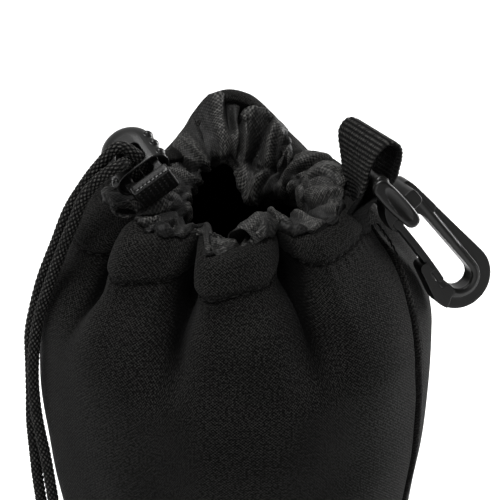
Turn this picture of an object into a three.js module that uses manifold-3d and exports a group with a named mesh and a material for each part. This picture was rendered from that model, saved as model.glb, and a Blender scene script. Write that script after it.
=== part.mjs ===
import * as THREE from 'three';
import { mergeVertices } from 'three/addons/utils/BufferGeometryUtils.js';
import Module from 'manifold-3d';

const wasm = await Module();
wasm.setup();

const V = (x, y, z) => new THREE.Vector3(x, y, z);
const DEG = Math.PI / 180;

// Fit between pieces that rest on each other, mm
const GAP = 0.3;

// Sleeve sizes, mm: the mouth sizes are for a fold's crest
const BASE_RADIUS = 48.5;
const BASE_TURN = 6;
const SHOULDER_RADIUS = 55.5;
const SHOULDER_HEIGHT = 118;
const MOUTH_RADIUS = 39;
const MOUTH_HEIGHT = 158;
const NEOPRENE = 3.2;
const PLUSH = 1.4;
const BINDING_WIDTH = 4;
const BINDING_HEIGHT = 2.6;
const CLOTH_SIDES = 60;

// How far round the base turn the sleeve's lower edge lies, 0 at the floor
const SEAM_LEVEL = 0.25;

// Folds of the gathered edge: angle from +X toward +Y, crest or valley radius, rise of the edge
const FOLDS = [
  { at: 2, radius: 29, rise: 0 },
  { at: 33, radius: 33, rise: 3 },
  { at: 56, radius: 28, rise: 4 },
  { at: 92, radius: 37, rise: 10 },
  { at: 148, radius: 30, rise: 3 },
  { at: 178, radius: 39, rise: 0 },
  { at: 198, radius: 33, rise: 0 },
  { at: 217, radius: 41, rise: -1 },
  { at: 248, radius: 29, rise: 0 },
  { at: 263, radius: 41, rise: -1 },
  { at: 296, radius: 26, rise: 0 },
  { at: 320, radius: 35.5, rise: 1 },
];

// Drawcord and casing sizes, mm, with the angles where the casing starts and ends
const CORD = 3.2;
const CORD_RING = 20;
const CASING_HALF = 2.8;
const RIM_RADIUS = 17;
const RIM_RISE = 1;
const LOCK_LIFT = 3;
const PUFFS = 23;
const CASING_FROM = 213;
const CASING_TO = 537;
const CASING_STEP = 6;
const CASING_SIDES = 8;

// Cord lock place and sizes, mm
const LOCK_CENTRE = V(-24.9, -7.7, MOUTH_HEIGHT + 12.9);
const LOCK_WIDTH = 16;
const LOCK_BACK = 4.4;
const LOCK_THICK = 9.6;
const LOCK_WALL = 2.1;
const LOCK_SKIRT = 4.2;
const LOCK_EDGE = 4;
const SLAB_THICK = 5;
const CORD_HOLE = 7;
const PLUNGER_HEAD = 4.4;
const BARB = 1.6;
const BARB_THICK = 2.2;
const GRIP_RADIUS = 0.8;
const GRIP_LENGTH = 3.2;
const GRIP_PITCH = 3.2;
const PRESS = 3.2;
const SPRING_WIRE = 0.5;
const SPRING_WIDTH = 3.4;
const SPRING_TURNS = 4;

// Free tails of the drawcord, from the lock down to their knot, mm
const FRONT_ROUTE = [
  [-29.8, -16.4, 174.9], [-34.5, -17, 171.4], [-39.3, -17.5, 165.6], [-43, -17.5, 157.7],
  [-47, -17.5, 147.6], [-51, -17.5, 136.2], [-53.8, -17.3, 127], [-55.4, -17.3, 118.5],
  [-56.3, -18, 108.5], [-56.2, -18.6, 99], [-55.5, -19, 91], [-54.2, -19.6, 82],
  [-53.2, -20, 72.5], [-52.4, -20.2, 63], [-52.3, -19.9, 54], [-52.6, -19.3, 46],
];
const BACK_ROUTE = [
  [-30.3, -12.4, 178.2], [-36, -13.4, 173.6], [-40.7, -13.8, 166.9], [-44.4, -13.9, 159.5],
  [-48.2, -14, 149.5], [-52.5, -14, 138], [-55.2, -13.9, 128], [-56.9, -13.8, 119.5],
  [-57.3, -13.7, 110], [-57.6, -13.8, 100], [-58, -14.3, 90], [-57.6, -15.4, 80],
  [-57.1, -16, 70], [-56.4, -16.3, 61], [-55.9, -16.7, 53], [-55.6, -16.9, 46],
];
const KNOT = V(-54.1, -18.1, 41);
const KNOT_RADIUS = 4.8;
const KNOT_END = 12;
const KNOT_LEAN = 20;

// Webbing sizes, mm
const WEBBING_WIDTH = 20;
const WEBBING = 1.6;
const WEBBING_TWIST = 16;
const SEWN_IN = 2.2;
const LOOP_TOP = 13.4;
const LOOP_ROOT = -12.5;
const ROOT_AT = -2.2;
const LOOP_STEPS = 44;

// Snap hook place and sizes, mm
const BAR_CENTRE = V(MOUTH_RADIUS - 2.4, -4.2, MOUTH_HEIGHT + 7);
const BAR_RADIUS = 2.2;
const ARM_WIDTH = 5.2;
const ARM_START = 0.6;
const ARM_REACH = 1.2;
const ARM_THICK = 2.4;
const HOOK_LENGTH = 50;
const HOOK_THICK = 6.4;
const HOOK_EDGE = 0.6;
const BEND_RADIUS = 9.6;
const HOOK_STEM = 6;
const BRIDGE_FROM = 7;
const BRIDGE_DEPTH = 5;
const GATE_THICK = 1.9;
const GATE_WIDTH = 5;
const GATE_BEAD = 1.5;
const BAND_DEPTH = 1.3;
const BAND_RIM = 2.3;
const BAND_END = 62;

const mix = (a, b, t) => a + (b - a) * t;
const smooth = (t) => t * t * (3 - 2 * t);
const clamp = (t) => Math.min(1, Math.max(0, t));

// Solid from a stack of closed rings; the stack closes on itself or ends in flat caps
function ringSolid(rings, closed) {
  const count = rings[0].length;
  const positions = rings.flat().flatMap((p) => [p.x, p.y, p.z]);
  const index = [];
  const last = closed ? rings.length : rings.length - 1;
  for (let i = 0; i < last; i++) {
    const a = i * count;
    const b = ((i + 1) % rings.length) * count;
    for (let j = 0; j < count; j++) {
      const k = (j + 1) % count;
      index.push(a + j, a + k, b + k, a + j, b + k, b + j);
    }
  }
  if (!closed) {
    const end = (rings.length - 1) * count;
    for (let j = 1; j < count - 1; j++) {
      index.push(0, j + 1, j, end, end + j, end + j + 1);
    }
  }
  return facingOut(positions, index);
}

// Mesh data with every face turned outward
function facingOut(positions, index) {
  let volume = 0;
  const at = (i) => V(positions[3 * i], positions[3 * i + 1], positions[3 * i + 2]);
  for (let i = 0; i < index.length; i += 3) {
    volume += at(index[i]).dot(at(index[i + 1]).cross(at(index[i + 2])));
  }
  const geometry = new THREE.BufferGeometry();
  geometry.setAttribute('position', new THREE.Float32BufferAttribute(positions, 3));
  geometry.setIndex(volume < 0 ? index.reverse() : index);
  geometry.computeVertexNormals();
  return geometry;
}

// Boolean joins and cuts
function toSolid(geometry) {
  const bare = geometry.clone();
  bare.deleteAttribute('normal');
  bare.deleteAttribute('uv');
  const welded = mergeVertices(bare, 1e-4);
  const vertProperties = new Float32Array(welded.attributes.position.array);
  const triVerts = new Uint32Array(welded.index.array);
  return new wasm.Manifold(new wasm.Mesh({ numProp: 3, vertProperties, triVerts }));
}

function fromSolid(solid) {
  const mesh = solid.getMesh();
  const geometry = new THREE.BufferGeometry();
  geometry.setAttribute('position', new THREE.BufferAttribute(mesh.vertProperties, 3));
  geometry.setIndex(new THREE.BufferAttribute(mesh.triVerts, 1));
  geometry.computeVertexNormals();
  return geometry;
}

const join = (...parts) => fromSolid(wasm.Manifold.union(parts.map(toSolid)));
const cut = (body, ...tools) =>
  fromSolid(toSolid(body).subtract(wasm.Manifold.union(tools.map(toSolid))));

// Moves a piece drawn in its own x, y, z into place
function placed(geometry, origin, x, y, z) {
  const matrix = new THREE.Matrix4().makeBasis(x, y, z).setPosition(origin);
  return geometry.clone().applyMatrix4(matrix);
}

// Flat outline made thick along its own z, centred on z = 0, with an optional rounded edge
function slab(shape, thick, edge = 0, detail = 4, rounds = 2) {
  const geometry = new THREE.ExtrudeGeometry(shape, {
    depth: thick - 2 * edge,
    bevelEnabled: edge > 0,
    bevelThickness: edge,
    bevelSize: edge,
    bevelOffset: -edge,
    bevelSegments: rounds,
    curveSegments: detail,
  });
  return geometry.translate(0, 0, edge - thick / 2);
}

function block(x0, x1, y0, y1, z0, z1) {
  const geometry = new THREE.BoxGeometry(x1 - x0, y1 - y0, z1 - z0);
  return geometry.translate((x0 + x1) / 2, (y0 + y1) / 2, (z0 + z1) / 2);
}

// Round cord along a curve
function cordTube(curve, steps) {
  const section = new THREE.Shape().absarc(0, 0, CORD / 2, 0, 2 * Math.PI);
  const options = { steps, extrudePath: curve, bevelEnabled: false, curveSegments: 4 };
  return new THREE.ExtrudeGeometry(section, options);
}

// Edge radius and rise of the gathered mouth at an angle: round crests, sharp valleys
function edgeAt(angle) {
  const turn = ((angle % 360) + 360) % 360;
  let next = FOLDS.findIndex((fold) => fold.at > turn);
  if (next < 0) next = 0;
  const a = FOLDS[(next + FOLDS.length - 1) % FOLDS.length];
  const b = FOLDS[next];
  const span = (b.at - a.at + 360) % 360;
  const t = ((turn - a.at + 360) % 360) / span;
  const fromValley = a.radius < b.radius ? t : 1 - t;
  const climb = mix(smooth(fromValley), Math.sin((fromValley * Math.PI) / 2), 0.65);
  const low = Math.min(a.radius, b.radius);
  const high = Math.max(a.radius, b.radius);
  return { radius: mix(low, high, climb), rise: mix(a.rise, b.rise, smooth(t)) };
}

// Sleeve skin: level 0 to 1 turns out of the base, 1 to 2 climbs the wall, 2 to 3 the shoulder
function skinPoint(angle, level) {
  let radius;
  let height;
  if (level < 1) {
    const turn = (1 - level) * 90 * DEG;
    radius = BASE_RADIUS - BASE_TURN * (1 - Math.cos(turn));
    height = BASE_TURN * (1 - Math.sin(turn));
  } else if (level < 2) {
    radius = mix(BASE_RADIUS, SHOULDER_RADIUS, smooth(clamp((level - 1) * 1.12)));
    height = mix(BASE_TURN, SHOULDER_HEIGHT, level - 1);
  } else {
    const edge = edgeAt(angle);
    const rise = level - 2;
    const gather = Math.pow(rise, 1.6);
    radius = mix(SHOULDER_RADIUS, MOUTH_RADIUS, rise * rise) + (edge.radius - MOUTH_RADIUS) * gather;
    height = mix(SHOULDER_HEIGHT, MOUTH_HEIGHT, rise) + edge.rise * gather;
  }
  return V(radius * Math.cos(angle * DEG), radius * Math.sin(angle * DEG), height);
}

// The same skin moved inward along its normal
function skin(angle, level, inset) {
  const step = 0.02;
  const along = skinPoint(angle, level + step).sub(skinPoint(angle, level - step));
  const across = skinPoint(angle + 2, level).sub(skinPoint(angle - 2, level));
  const normal = across.cross(along).normalize();
  return skinPoint(angle, level).addScaledVector(normal, -inset);
}

const around = (count) => Array.from({ length: count }, (_, i) => (i * 360) / count);

// Tube of cloth between two insets from the skin
function clothTube(angles, levels, outer, inner, top) {
  const row = (level, inset) => angles.map((angle) => skin(angle, level, inset));
  const up = levels.map((level) => row(level, outer));
  const down = [...levels].reverse().map((level) => row(level, inner));
  return ringSolid([...up, row(top, (outer + inner) / 2), ...down], true);
}

const sleeveLevels = [SEAM_LEVEL, 0.6, 1, 1.33, 1.67, 2, 2.2, 2.4, 2.55, 2.7, 2.82, 2.93];
const sleeveTube = clothTube(around(CLOTH_SIDES), sleeveLevels, 0, NEOPRENE, 3);

const liningOut = NEOPRENE + 2 * GAP;
const liningLevels = [1.02, 1.33, 1.67, 2, 2.2, 2.4, 2.55];
const liningSleeve = clothTube(around(CLOTH_SIDES), liningLevels, liningOut, liningOut + PLUSH, 2.6);

// Base: a panel inside the sleeve's turned edge, a binding over the seam and a plush disc
const ringPoint = (level, inset) => {
  const p = skin(0, level, inset);
  return { radius: Math.hypot(p.x, p.y), height: p.z };
};
const seamInner = ringPoint(SEAM_LEVEL, NEOPRENE);
const baseEdge = seamInner.radius - GAP;
function disc(points, count) {
  const profile = points.map(([r, z]) => new THREE.Vector2(r, z));
  return new THREE.LatheGeometry(profile, count).rotateX(Math.PI / 2);
}
function hoop(points, count) {
  const rings = around(count).map((angle) =>
    points.map(([r, z]) => V(r * Math.cos(angle * DEG), r * Math.sin(angle * DEG), z)));
  return ringSolid(rings, true);
}
const basePanel = disc([
  [0, 0], [baseEdge - 0.6, 0], [baseEdge, 0.6], [baseEdge, NEOPRENE], [0, NEOPRENE],
], 48);
const bindingFrom = NEOPRENE + GAP;
const bindingOut = baseEdge - 1;
const bindingIn = bindingOut - BINDING_WIDTH;
const baseBinding = hoop([
  [bindingIn, bindingFrom],
  [bindingOut, bindingFrom],
  [bindingOut, bindingFrom + BINDING_HEIGHT * 0.6],
  [bindingOut - BINDING_WIDTH * 0.3, bindingFrom + BINDING_HEIGHT],
  [bindingIn + BINDING_WIDTH * 0.3, bindingFrom + BINDING_HEIGHT],
  [bindingIn, bindingFrom + BINDING_HEIGHT * 0.6],
], 48);
const liningEdge = bindingIn - GAP;
const liningBase = disc([
  [0, bindingFrom], [liningEdge, bindingFrom], [liningEdge, bindingFrom + PLUSH], [0, bindingFrom + PLUSH],
], 40);

// Casing: a flattened tube from the sleeve's edge to the rim of the mouth, with the cord inside
function casingEnds(angle) {
  const room = NEOPRENE + GAP + CASING_HALF;
  let reach = Infinity;
  for (let near = angle - 6; near <= angle + 6; near += 3) {
    const p = skin(near, 3, room);
    reach = Math.min(reach, Math.hypot(p.x, p.y));
  }
  const toLock = Math.abs(angle - CASING_FROM) < 90 ? angle - CASING_FROM : CASING_TO - angle;
  const lift = LOCK_LIFT * smooth(1 - clamp(toLock / 40));
  const height = MOUTH_HEIGHT + edgeAt(angle).rise * 0.8 + lift;
  const rim = Math.min(RIM_RADIUS, reach - 2);
  const at = (r, z) => V(r * Math.cos(angle * DEG), r * Math.sin(angle * DEG), z);
  return { outer: at(reach, height - 4.4), inner: at(rim, height - CASING_HALF + RIM_RISE) };
}

function cordCentre(angle) {
  const { outer, inner } = casingEnds(angle);
  const from = Math.hypot(inner.x, inner.y);
  const to = Math.hypot(outer.x, outer.y);
  return inner.clone().lerp(outer, clamp((CORD_RING - from) / (to - from)));
}

const casingAngles = [];
for (let angle = CASING_FROM; angle <= CASING_TO; angle += CASING_STEP) casingAngles.push(angle);
const casingRings = casingAngles.map((angle) => {
  const { outer, inner } = casingEnds(angle);
  const out = outer.clone().sub(inner).normalize();
  const up = V(0, 0, 1).addScaledVector(out, -out.z).normalize();
  const half = CASING_HALF * (0.9 + 0.1 * Math.sin(angle * DEG * PUFFS));
  return Array.from({ length: CASING_SIDES }, (_, i) => {
    const turn = ((i + 0.5) / CASING_SIDES) * 2 * Math.PI;
    const end = Math.cos(turn) > 0 ? outer : inner;
    return end.clone()
      .addScaledVector(out, half * Math.cos(turn))
      .addScaledVector(up, half * Math.sin(turn));
  });
});
const boreRadius = CORD / 2 + 2 * GAP;
const boreRings = casingAngles.map((angle) => {
  const centre = cordCentre(angle);
  const out = V(Math.cos(angle * DEG), Math.sin(angle * DEG), 0);
  return Array.from({ length: CASING_SIDES }, (_, i) => {
    const turn = ((i + 0.5) / CASING_SIDES) * 2 * Math.PI;
    return centre.clone()
      .addScaledVector(out, boreRadius * Math.cos(turn))
      .addScaledVector(V(0, 0, 1), boreRadius * Math.sin(turn));
  });
});
const casing = ringSolid([...casingRings, ...boreRings.reverse()], true);

// Cord lock frame: push is the way the plunger sticks out, face the way the cord comes out
const lockFace = V(-0.33, -0.45, 0.83).normalize();
const lockPush = V(0.476, -0.835, -0.261);
lockPush.addScaledVector(lockFace, -lockPush.dot(lockFace)).normalize();
const lockSide = lockFace.clone().cross(lockPush);
const lockPoint = (push, side, face) => LOCK_CENTRE.clone()
  .addScaledVector(lockPush, push)
  .addScaledVector(lockSide, side)
  .addScaledVector(lockFace, face);
const inLock = (geometry) => placed(geometry, LOCK_CENTRE, lockPush, lockSide, lockFace);

// Outline with one round end at -x, centred on the round end's centre
function roundEnded(radius, straight, from = 0) {
  const shape = new THREE.Shape();
  shape.moveTo(from + straight, radius);
  shape.lineTo(from, radius);
  shape.absarc(from, 0, radius, Math.PI / 2, 1.5 * Math.PI);
  shape.lineTo(from + straight, -radius);
  return shape;
}

function roundedBox(halfX, halfY, corner, centreX = 0) {
  const shape = new THREE.Shape();
  shape.absarc(centreX + halfX - corner, halfY - corner, corner, 0, Math.PI / 2);
  shape.absarc(centreX - halfX + corner, halfY - corner, corner, Math.PI / 2, Math.PI);
  shape.absarc(centreX - halfX + corner, -halfY + corner, corner, Math.PI, 1.5 * Math.PI);
  shape.absarc(centreX + halfX - corner, -halfY + corner, corner, 1.5 * Math.PI, 2 * Math.PI);
  return shape;
}

const lockRadius = LOCK_WIDTH / 2;
const cavityRadius = lockRadius - LOCK_WALL;
const cavityThick = SLAB_THICK + 2 * GAP;
const slabRadius = cavityRadius - GAP;
const cordPair = CORD + GAP / 2;
const holeHalf = cordPair + GAP;
const cordAt = CORD_HOLE / 2 - GAP - CORD / 2;
const cordHole = (centreX) =>
  slab(roundedBox(CORD_HOLE / 2, holeHalf, 2, centreX), LOCK_THICK + 2);

// Barrel: a domed shell, open at the skirt, with the cord hole, two barb windows and grip ridges
const windowEnd = LOCK_SKIRT - 1.8;
const barbEnd = windowEnd - GAP;
const windowFrom = barbEnd - BARB - PRESS - GAP;
const ridges = [];
for (const side of [-1, 1]) {
  for (const step of [-1, 0, 1]) {
    const ridge = new THREE.CylinderGeometry(GRIP_RADIUS, GRIP_RADIUS, GRIP_LENGTH, 8);
    ridge.rotateX(Math.PI / 2).translate(step * GRIP_PITCH - 2.2, side * (lockRadius - 0.45), 0.9);
    ridges.push(ridge);
  }
}
const lockShape = (radius, beyond) => roundEnded(radius, LOCK_BACK + LOCK_SKIRT + beyond, -LOCK_BACK);
const lockDome = slab(lockShape(lockRadius, LOCK_EDGE + 1), LOCK_THICK, LOCK_EDGE, 8, 3);
const lockBarrel = inLock(cut(
  join(lockDome, ...ridges),
  block(LOCK_SKIRT, 30, -15, 15, -15, 15),
  slab(lockShape(cavityRadius, 1), cavityThick, 0, 8),
  cordHole(0),
  block(windowFrom, windowEnd, -lockRadius - 1, lockRadius + 1, -1.5, 1.5),
));

// Plunger: a slab with its own cord hole, a slotted head, two barbs and a pocket for the spring
const headFrom = LOCK_SKIRT + GAP + PRESS;
const headTo = headFrom + PLUNGER_HEAD;
const headHalf = lockRadius - 1.3;
const headThick = LOCK_THICK - 1;
const barbReach = slabRadius + 1.5;
const barbShape = (side) => {
  const shape = new THREE.Shape();
  shape.moveTo(barbEnd - BARB, side * (slabRadius - 1));
  shape.lineTo(barbEnd, side * (slabRadius - 1));
  shape.lineTo(barbEnd, side * barbReach);
  shape.lineTo(barbEnd - BARB, side * (slabRadius + 0.2));
  return shape;
};
const headShape = roundedBox(PLUNGER_HEAD / 2, headHalf, 0.8, (headFrom + headTo) / 2);
const springFrom = PRESS - LOCK_BACK - slabRadius;
const pocketEnd = springFrom + 2.4;
const pocketRadius = SPRING_WIDTH / 2 + GAP;
const springPocket = new THREE.CylinderGeometry(pocketRadius, pocketRadius, 4.4, 12);
const headSlots = [-1, 1].map((face) =>
  slab(roundedBox(PLUNGER_HEAD / 2 - 0.9, headHalf * 0.55, 0.7, (headFrom + headTo) / 2), 3)
    .translate(0, 0, face * (headThick / 2)));
const lockPlunger = inLock(cut(
  join(
    slab(roundEnded(slabRadius, LOCK_BACK + headFrom - PRESS + 0.5, PRESS - LOCK_BACK), SLAB_THICK, 0, 8),
    slab(headShape, headThick, 0.6, 3),
    slab(barbShape(1), BARB_THICK),
    slab(barbShape(-1), BARB_THICK),
  ),
  cordHole(PRESS),
  springPocket.rotateZ(Math.PI / 2).translate(pocketEnd - 2.2, 0, 0),
  ...headSlots,
));

// Spring between the cavity's end and the bottom of the pocket
class Coil extends THREE.Curve {
  constructor(from, to, radius, turns) {
    super();
    this.shape = { from, to, radius, turns };
  }

  getPoint(t) {
    const { from, to, radius, turns } = this.shape;
    const turn = t * turns * 2 * Math.PI;
    return V(mix(from, to, t), radius * Math.cos(turn), radius * Math.sin(turn));
  }
}
const coilFrom = -LOCK_BACK - cavityRadius + GAP + SPRING_WIRE;
const coilTo = pocketEnd - GAP - SPRING_WIRE;
const coil = new Coil(coilFrom, coilTo, (SPRING_WIDTH - SPRING_WIRE) / 2, SPRING_TURNS);
const wireSection = new THREE.Shape().absarc(0, 0, SPRING_WIRE / 2, 0, 2 * Math.PI);
const lockSpring = inLock(new THREE.ExtrudeGeometry(wireSection, {
  steps: SPRING_TURNS * 10,
  extrudePath: coil,
  bevelEnabled: false,
  curveSegments: 3,
}));

// Drawcord in the casing, with a lead from each end of the casing up into the lock
const strand = (side, face) => lockPoint(cordAt, side * cordPair / 2, face);
function lead(angle, side, forward) {
  const from = cordCentre(angle);
  const tangent = cordCentre(angle + forward * 4).sub(from).normalize();
  const to = strand(side, -LOCK_THICK / 2 - 0.5);
  const first = from.clone().addScaledVector(tangent, 5);
  const second = to.clone().addScaledVector(lockFace, -5);
  return new THREE.CubicBezierCurve3(from, first, second, to).getPoints(7);
}
const ringAngles = casingAngles.slice(2, -2).filter((angle, i) => i % 2 === 0);
const cordPoints = [
  strand(-1, -GAP / 2),
  ...lead(CASING_FROM, -1, -1).reverse(),
  ...ringAngles.map(cordCentre),
  ...lead(CASING_TO, 1, 1),
  strand(1, -GAP / 2),
];
const drawcordLoop = cordTube(new THREE.CatmullRomCurve3(cordPoints), 64);

// Free tails of the drawcord, from the middle of the lock to the knot
const tail = (side, route) => {
  const points = route.map(([x, y, z]) => V(x, y, z));
  const start = [strand(side, GAP / 2), strand(side, LOCK_THICK / 2 + 0.5)];
  return cordTube(new THREE.CatmullRomCurve3([...start, ...points]), 40);
};
const tailFront = tail(-1, FRONT_ROUTE);
const tailBack = tail(1, BACK_ROUTE);

// Knot of both tails, with the two cut ends below it
const knotEnd = (lean) => new THREE.CylinderGeometry(CORD / 2, CORD / 2, KNOT_END, 8)
  .rotateX(Math.PI / 2)
  .translate(0, 0, -1 - KNOT_END / 2)
  .rotateY(lean * DEG)
  .translate(KNOT.x, KNOT.y, KNOT.z);
const tailKnot = join(
  new THREE.SphereGeometry(KNOT_RADIUS, 14, 10).scale(1, 1, 0.92).translate(KNOT.x, KNOT.y, KNOT.z),
  knotEnd(-KNOT_LEAN),
  knotEnd(KNOT_LEAN),
);

// Snap hook frame: bar is the webbing bar's axis, down runs along the hook, out is its spine side
const hookBar = V(0.289, -0.919, 0.266).normalize();
const hookFlat = V(0.954, 0.3, 0).normalize();
hookFlat.addScaledVector(hookBar, -hookFlat.dot(hookBar)).normalize();
const hookRise = hookBar.clone().cross(hookFlat);

// Hook outline sizes in its own x (down the hook) and y (toward the spine)
const bendX = HOOK_LENGTH - BEND_RADIUS;
const bendY = 1.4;
const bendInner = BEND_RADIUS - HOOK_STEM;
const spineOut = bendY + BEND_RADIUS;
const spineIn = bendY + bendInner;
const noseOut = bendY - BEND_RADIUS;
const noseIn = bendY - bendInner;
const noseTip = bendX - 10.4;
const bridgeTo = BRIDGE_FROM + BRIDGE_DEPTH;
const gateX = bridgeTo + 4.2;
const gateY = noseIn - 0.3;

function hookOutline() {
  const shape = new THREE.Shape();
  shape.moveTo(BRIDGE_FROM + 0.6, -1.2);
  shape.lineTo(BRIDGE_FROM + 0.6, 6.4);
  shape.quadraticCurveTo(BRIDGE_FROM + 0.8, spineOut - 3.4, BRIDGE_FROM + 5, spineOut - 3);
  shape.absarc(bendX, bendY, BEND_RADIUS, 96 * DEG, -Math.PI / 2, true);
  shape.lineTo(noseTip + 1.4, noseOut + 2);
  shape.quadraticCurveTo(noseTip - 0.8, noseOut + 2.6, noseTip + 0.4, noseIn - 1);
  shape.lineTo(bendX, noseIn);
  shape.absarc(bendX, bendY, bendInner, -Math.PI / 2, Math.PI / 2);
  shape.lineTo(gateX + 6, spineIn - 0.4);
  shape.quadraticCurveTo(gateX, spineIn - 0.6, gateX - 0.4, gateY + 3.2);
  shape.lineTo(gateX + 1.2, gateY + 2.8);
  shape.lineTo(gateX + 1.2, gateY - 2.2);
  shape.quadraticCurveTo(gateX - 2.5, gateY - 3, bridgeTo - 1.5, -3.6);
  return shape;
}

// Sunk band along the spine and round the bend, open to the outer edge, one on each face
function bandOutline() {
  const beyond = BEND_RADIUS + 1;
  const shape = new THREE.Shape();
  shape.moveTo(bridgeTo + BAND_RIM + 3, bendY + beyond);
  shape.lineTo(bendX, bendY + beyond);
  shape.absarc(bendX, bendY, beyond, Math.PI / 2, -BAND_END * DEG, true);
  shape.absarc(bendX, bendY, bendInner + BAND_RIM, -BAND_END * DEG, Math.PI / 2);
  shape.lineTo(bridgeTo + BAND_RIM + 6, spineIn + BAND_RIM - 0.3);
  return shape;
}

const barHalf = WEBBING_WIDTH / 2 + 2 * GAP;
const armCentre = barHalf + ARM_THICK / 2;
function armOutline() {
  const tip = bridgeTo + ARM_REACH;
  const half = ARM_WIDTH / 2;
  const shape = new THREE.Shape();
  shape.absarc(ARM_START, 0, half, Math.PI / 2, 1.5 * Math.PI);
  shape.quadraticCurveTo(tip / 2, -half - 0.2, tip, -half + 1.2);
  shape.absarc(tip, 0.9, half - 0.3, -Math.PI / 2, Math.PI / 2);
  shape.quadraticCurveTo(tip / 2, half + 0.9, ARM_START, half);
  return shape;
}
const arms = [-1, 1].map((side) =>
  slab(armOutline(), ARM_THICK, HOOK_EDGE, 5).translate(0, 0, side * armCentre));
const barLength = 2 * barHalf + 1;
const bar = new THREE.CylinderGeometry(BAR_RADIUS, BAR_RADIUS, barLength, 16).rotateX(Math.PI / 2);
const bridgeShape = roundedBox(BRIDGE_DEPTH / 2, 3.6, 1.4, BRIDGE_FROM + BRIDGE_DEPTH / 2);
const bridge = slab(bridgeShape, barLength, 0, 3).translate(0, 2.4, 0);
const bands = [-1, 1].map((side) =>
  slab(bandOutline(), 2 * BAND_DEPTH).translate(0, 0, (side * HOOK_THICK) / 2));
const gateSocket = new THREE.CylinderGeometry(GATE_BEAD + GAP, GATE_BEAD + GAP, HOOK_THICK + 2, 14)
  .rotateX(Math.PI / 2).translate(gateX, gateY, 0);
const gateMouth = block(gateX, gateX + 4, gateY - 1.5, gateY + 1.9, -HOOK_THICK, HOOK_THICK);
const hookBodyOwn = cut(
  join(slab(hookOutline(), HOOK_THICK, HOOK_EDGE, 5), ...arms, bar, bridge),
  gateSocket,
  gateMouth,
  ...bands,
);

// Gate: a round bead in the socket and a tongue that ends behind the nose
const gateTip = bendX - 1.2;
function gateOutline() {
  const half = GATE_THICK / 2;
  const rest = noseIn + GAP + 0.25;
  const shape = new THREE.Shape();
  shape.moveTo(gateX, gateY - half);
  shape.quadraticCurveTo(mix(gateX, gateTip, 0.5), gateY - half, gateTip, rest);
  shape.quadraticCurveTo(gateTip + 0.9, rest + half, gateTip, rest + GATE_THICK);
  shape.quadraticCurveTo(mix(gateX, gateTip, 0.5), gateY + half + 0.2, gateX, gateY + half);
  return shape;
}
const gateBead = new THREE.CylinderGeometry(GATE_BEAD, GATE_BEAD, GATE_WIDTH, 12)
  .rotateX(Math.PI / 2).translate(gateX, gateY, 0);
const hookGateOwn = join(gateBead, slab(gateOutline(), GATE_WIDTH, 0.3, 4));

// The hook hangs from the bar and leans on the sleeve: the least angle that clears the flank
function skinRadiusAt(angle, height) {
  let low = 1;
  let high = 3;
  for (let i = 0; i < 30; i++) {
    const middle = (low + high) / 2;
    if (skinPoint(angle, middle).z < height) low = middle;
    else high = middle;
  }
  const p = skinPoint(angle, low);
  return Math.hypot(p.x, p.y);
}

function hookAxes(angle) {
  const down = hookFlat.clone().multiplyScalar(Math.cos(angle * DEG))
    .addScaledVector(hookRise, Math.sin(angle * DEG));
  return { down, out: hookBar.clone().cross(down) };
}

function clearsFlank(angle) {
  const { down, out } = hookAxes(angle);
  const corners = hookBodyOwn.attributes.position;
  for (let i = 0; i < corners.count; i++) {
    const p = BAR_CENTRE.clone()
      .addScaledVector(down, corners.getX(i))
      .addScaledVector(out, corners.getY(i))
      .addScaledVector(hookBar, corners.getZ(i));
    const turn = Math.atan2(p.y, p.x) / DEG;
    const edge = skinPoint(turn, 3).z;
    if (p.z < edge && Math.hypot(p.x, p.y) < skinRadiusAt(turn, p.z) + 2 * GAP) return false;
  }
  return true;
}

let hang = -80;
while (!clearsFlank(hang) && hang < 0) hang += 0.5;
const { down: hookDown, out: hookOut } = hookAxes(hang);
const inHook = (geometry) => placed(geometry, BAR_CENTRE, hookDown, hookOut, hookBar);
const hookBody = inHook(hookBodyOwn);
const hookGate = inHook(hookGateOwn);

// Webbing loop: sewn into the sleeve by both ends, up one side of the bar and down the other
const legGap = BAR_RADIUS + WEBBING / 2 + GAP;
const pairHalf = (WEBBING + GAP) / 2;
const rootEnd = LOOP_ROOT - SEWN_IN;
const loopRoute = [
  [ROOT_AT - pairHalf, rootEnd], [ROOT_AT - pairHalf, LOOP_ROOT + 3],
  [-legGap + 0.1, -3], [-legGap - 0.3, 1], [-legGap + 0.2, 6],
  [-1.8, LOOP_TOP - 2.4], [1.2, LOOP_TOP], [4, LOOP_TOP - 2], [5.1, LOOP_TOP - 6.5],
  [5, 3], [4.2, -1], [2.4, -4.2],
  [ROOT_AT + pairHalf, LOOP_ROOT + 4], [ROOT_AT + pairHalf, rootEnd],
];
const loopPoints = loopRoute.map(([x, y]) => V(x, y, 0));
const loopCurve = new THREE.CatmullRomCurve3(loopPoints, false, 'centripetal');
function loopPoint(x, y, side) {
  const twist = WEBBING_TWIST * DEG * smooth(clamp((y - 2) / (LOOP_TOP - 2)));
  const flat = x * Math.cos(twist) + side * Math.sin(twist);
  const across = side * Math.cos(twist) - x * Math.sin(twist);
  return BAR_CENTRE.clone()
    .addScaledVector(hookFlat, flat)
    .addScaledVector(hookRise, y)
    .addScaledVector(hookBar, across);
}
const loopRings = [];
for (let i = 0; i <= LOOP_STEPS; i++) {
  const p = loopCurve.getPointAt(i / LOOP_STEPS);
  const along = loopCurve.getTangentAt(i / LOOP_STEPS);
  const offX = (-along.y * WEBBING) / 2;
  const offY = (along.x * WEBBING) / 2;
  const side = WEBBING_WIDTH / 2;
  loopRings.push([
    loopPoint(p.x + offX, p.y + offY, side),
    loopPoint(p.x + offX, p.y + offY, -side),
    loopPoint(p.x - offX, p.y - offY, -side),
    loopPoint(p.x - offX, p.y - offY, side),
  ]);
}
const webbingLoop = ringSolid(loopRings, false);

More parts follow.
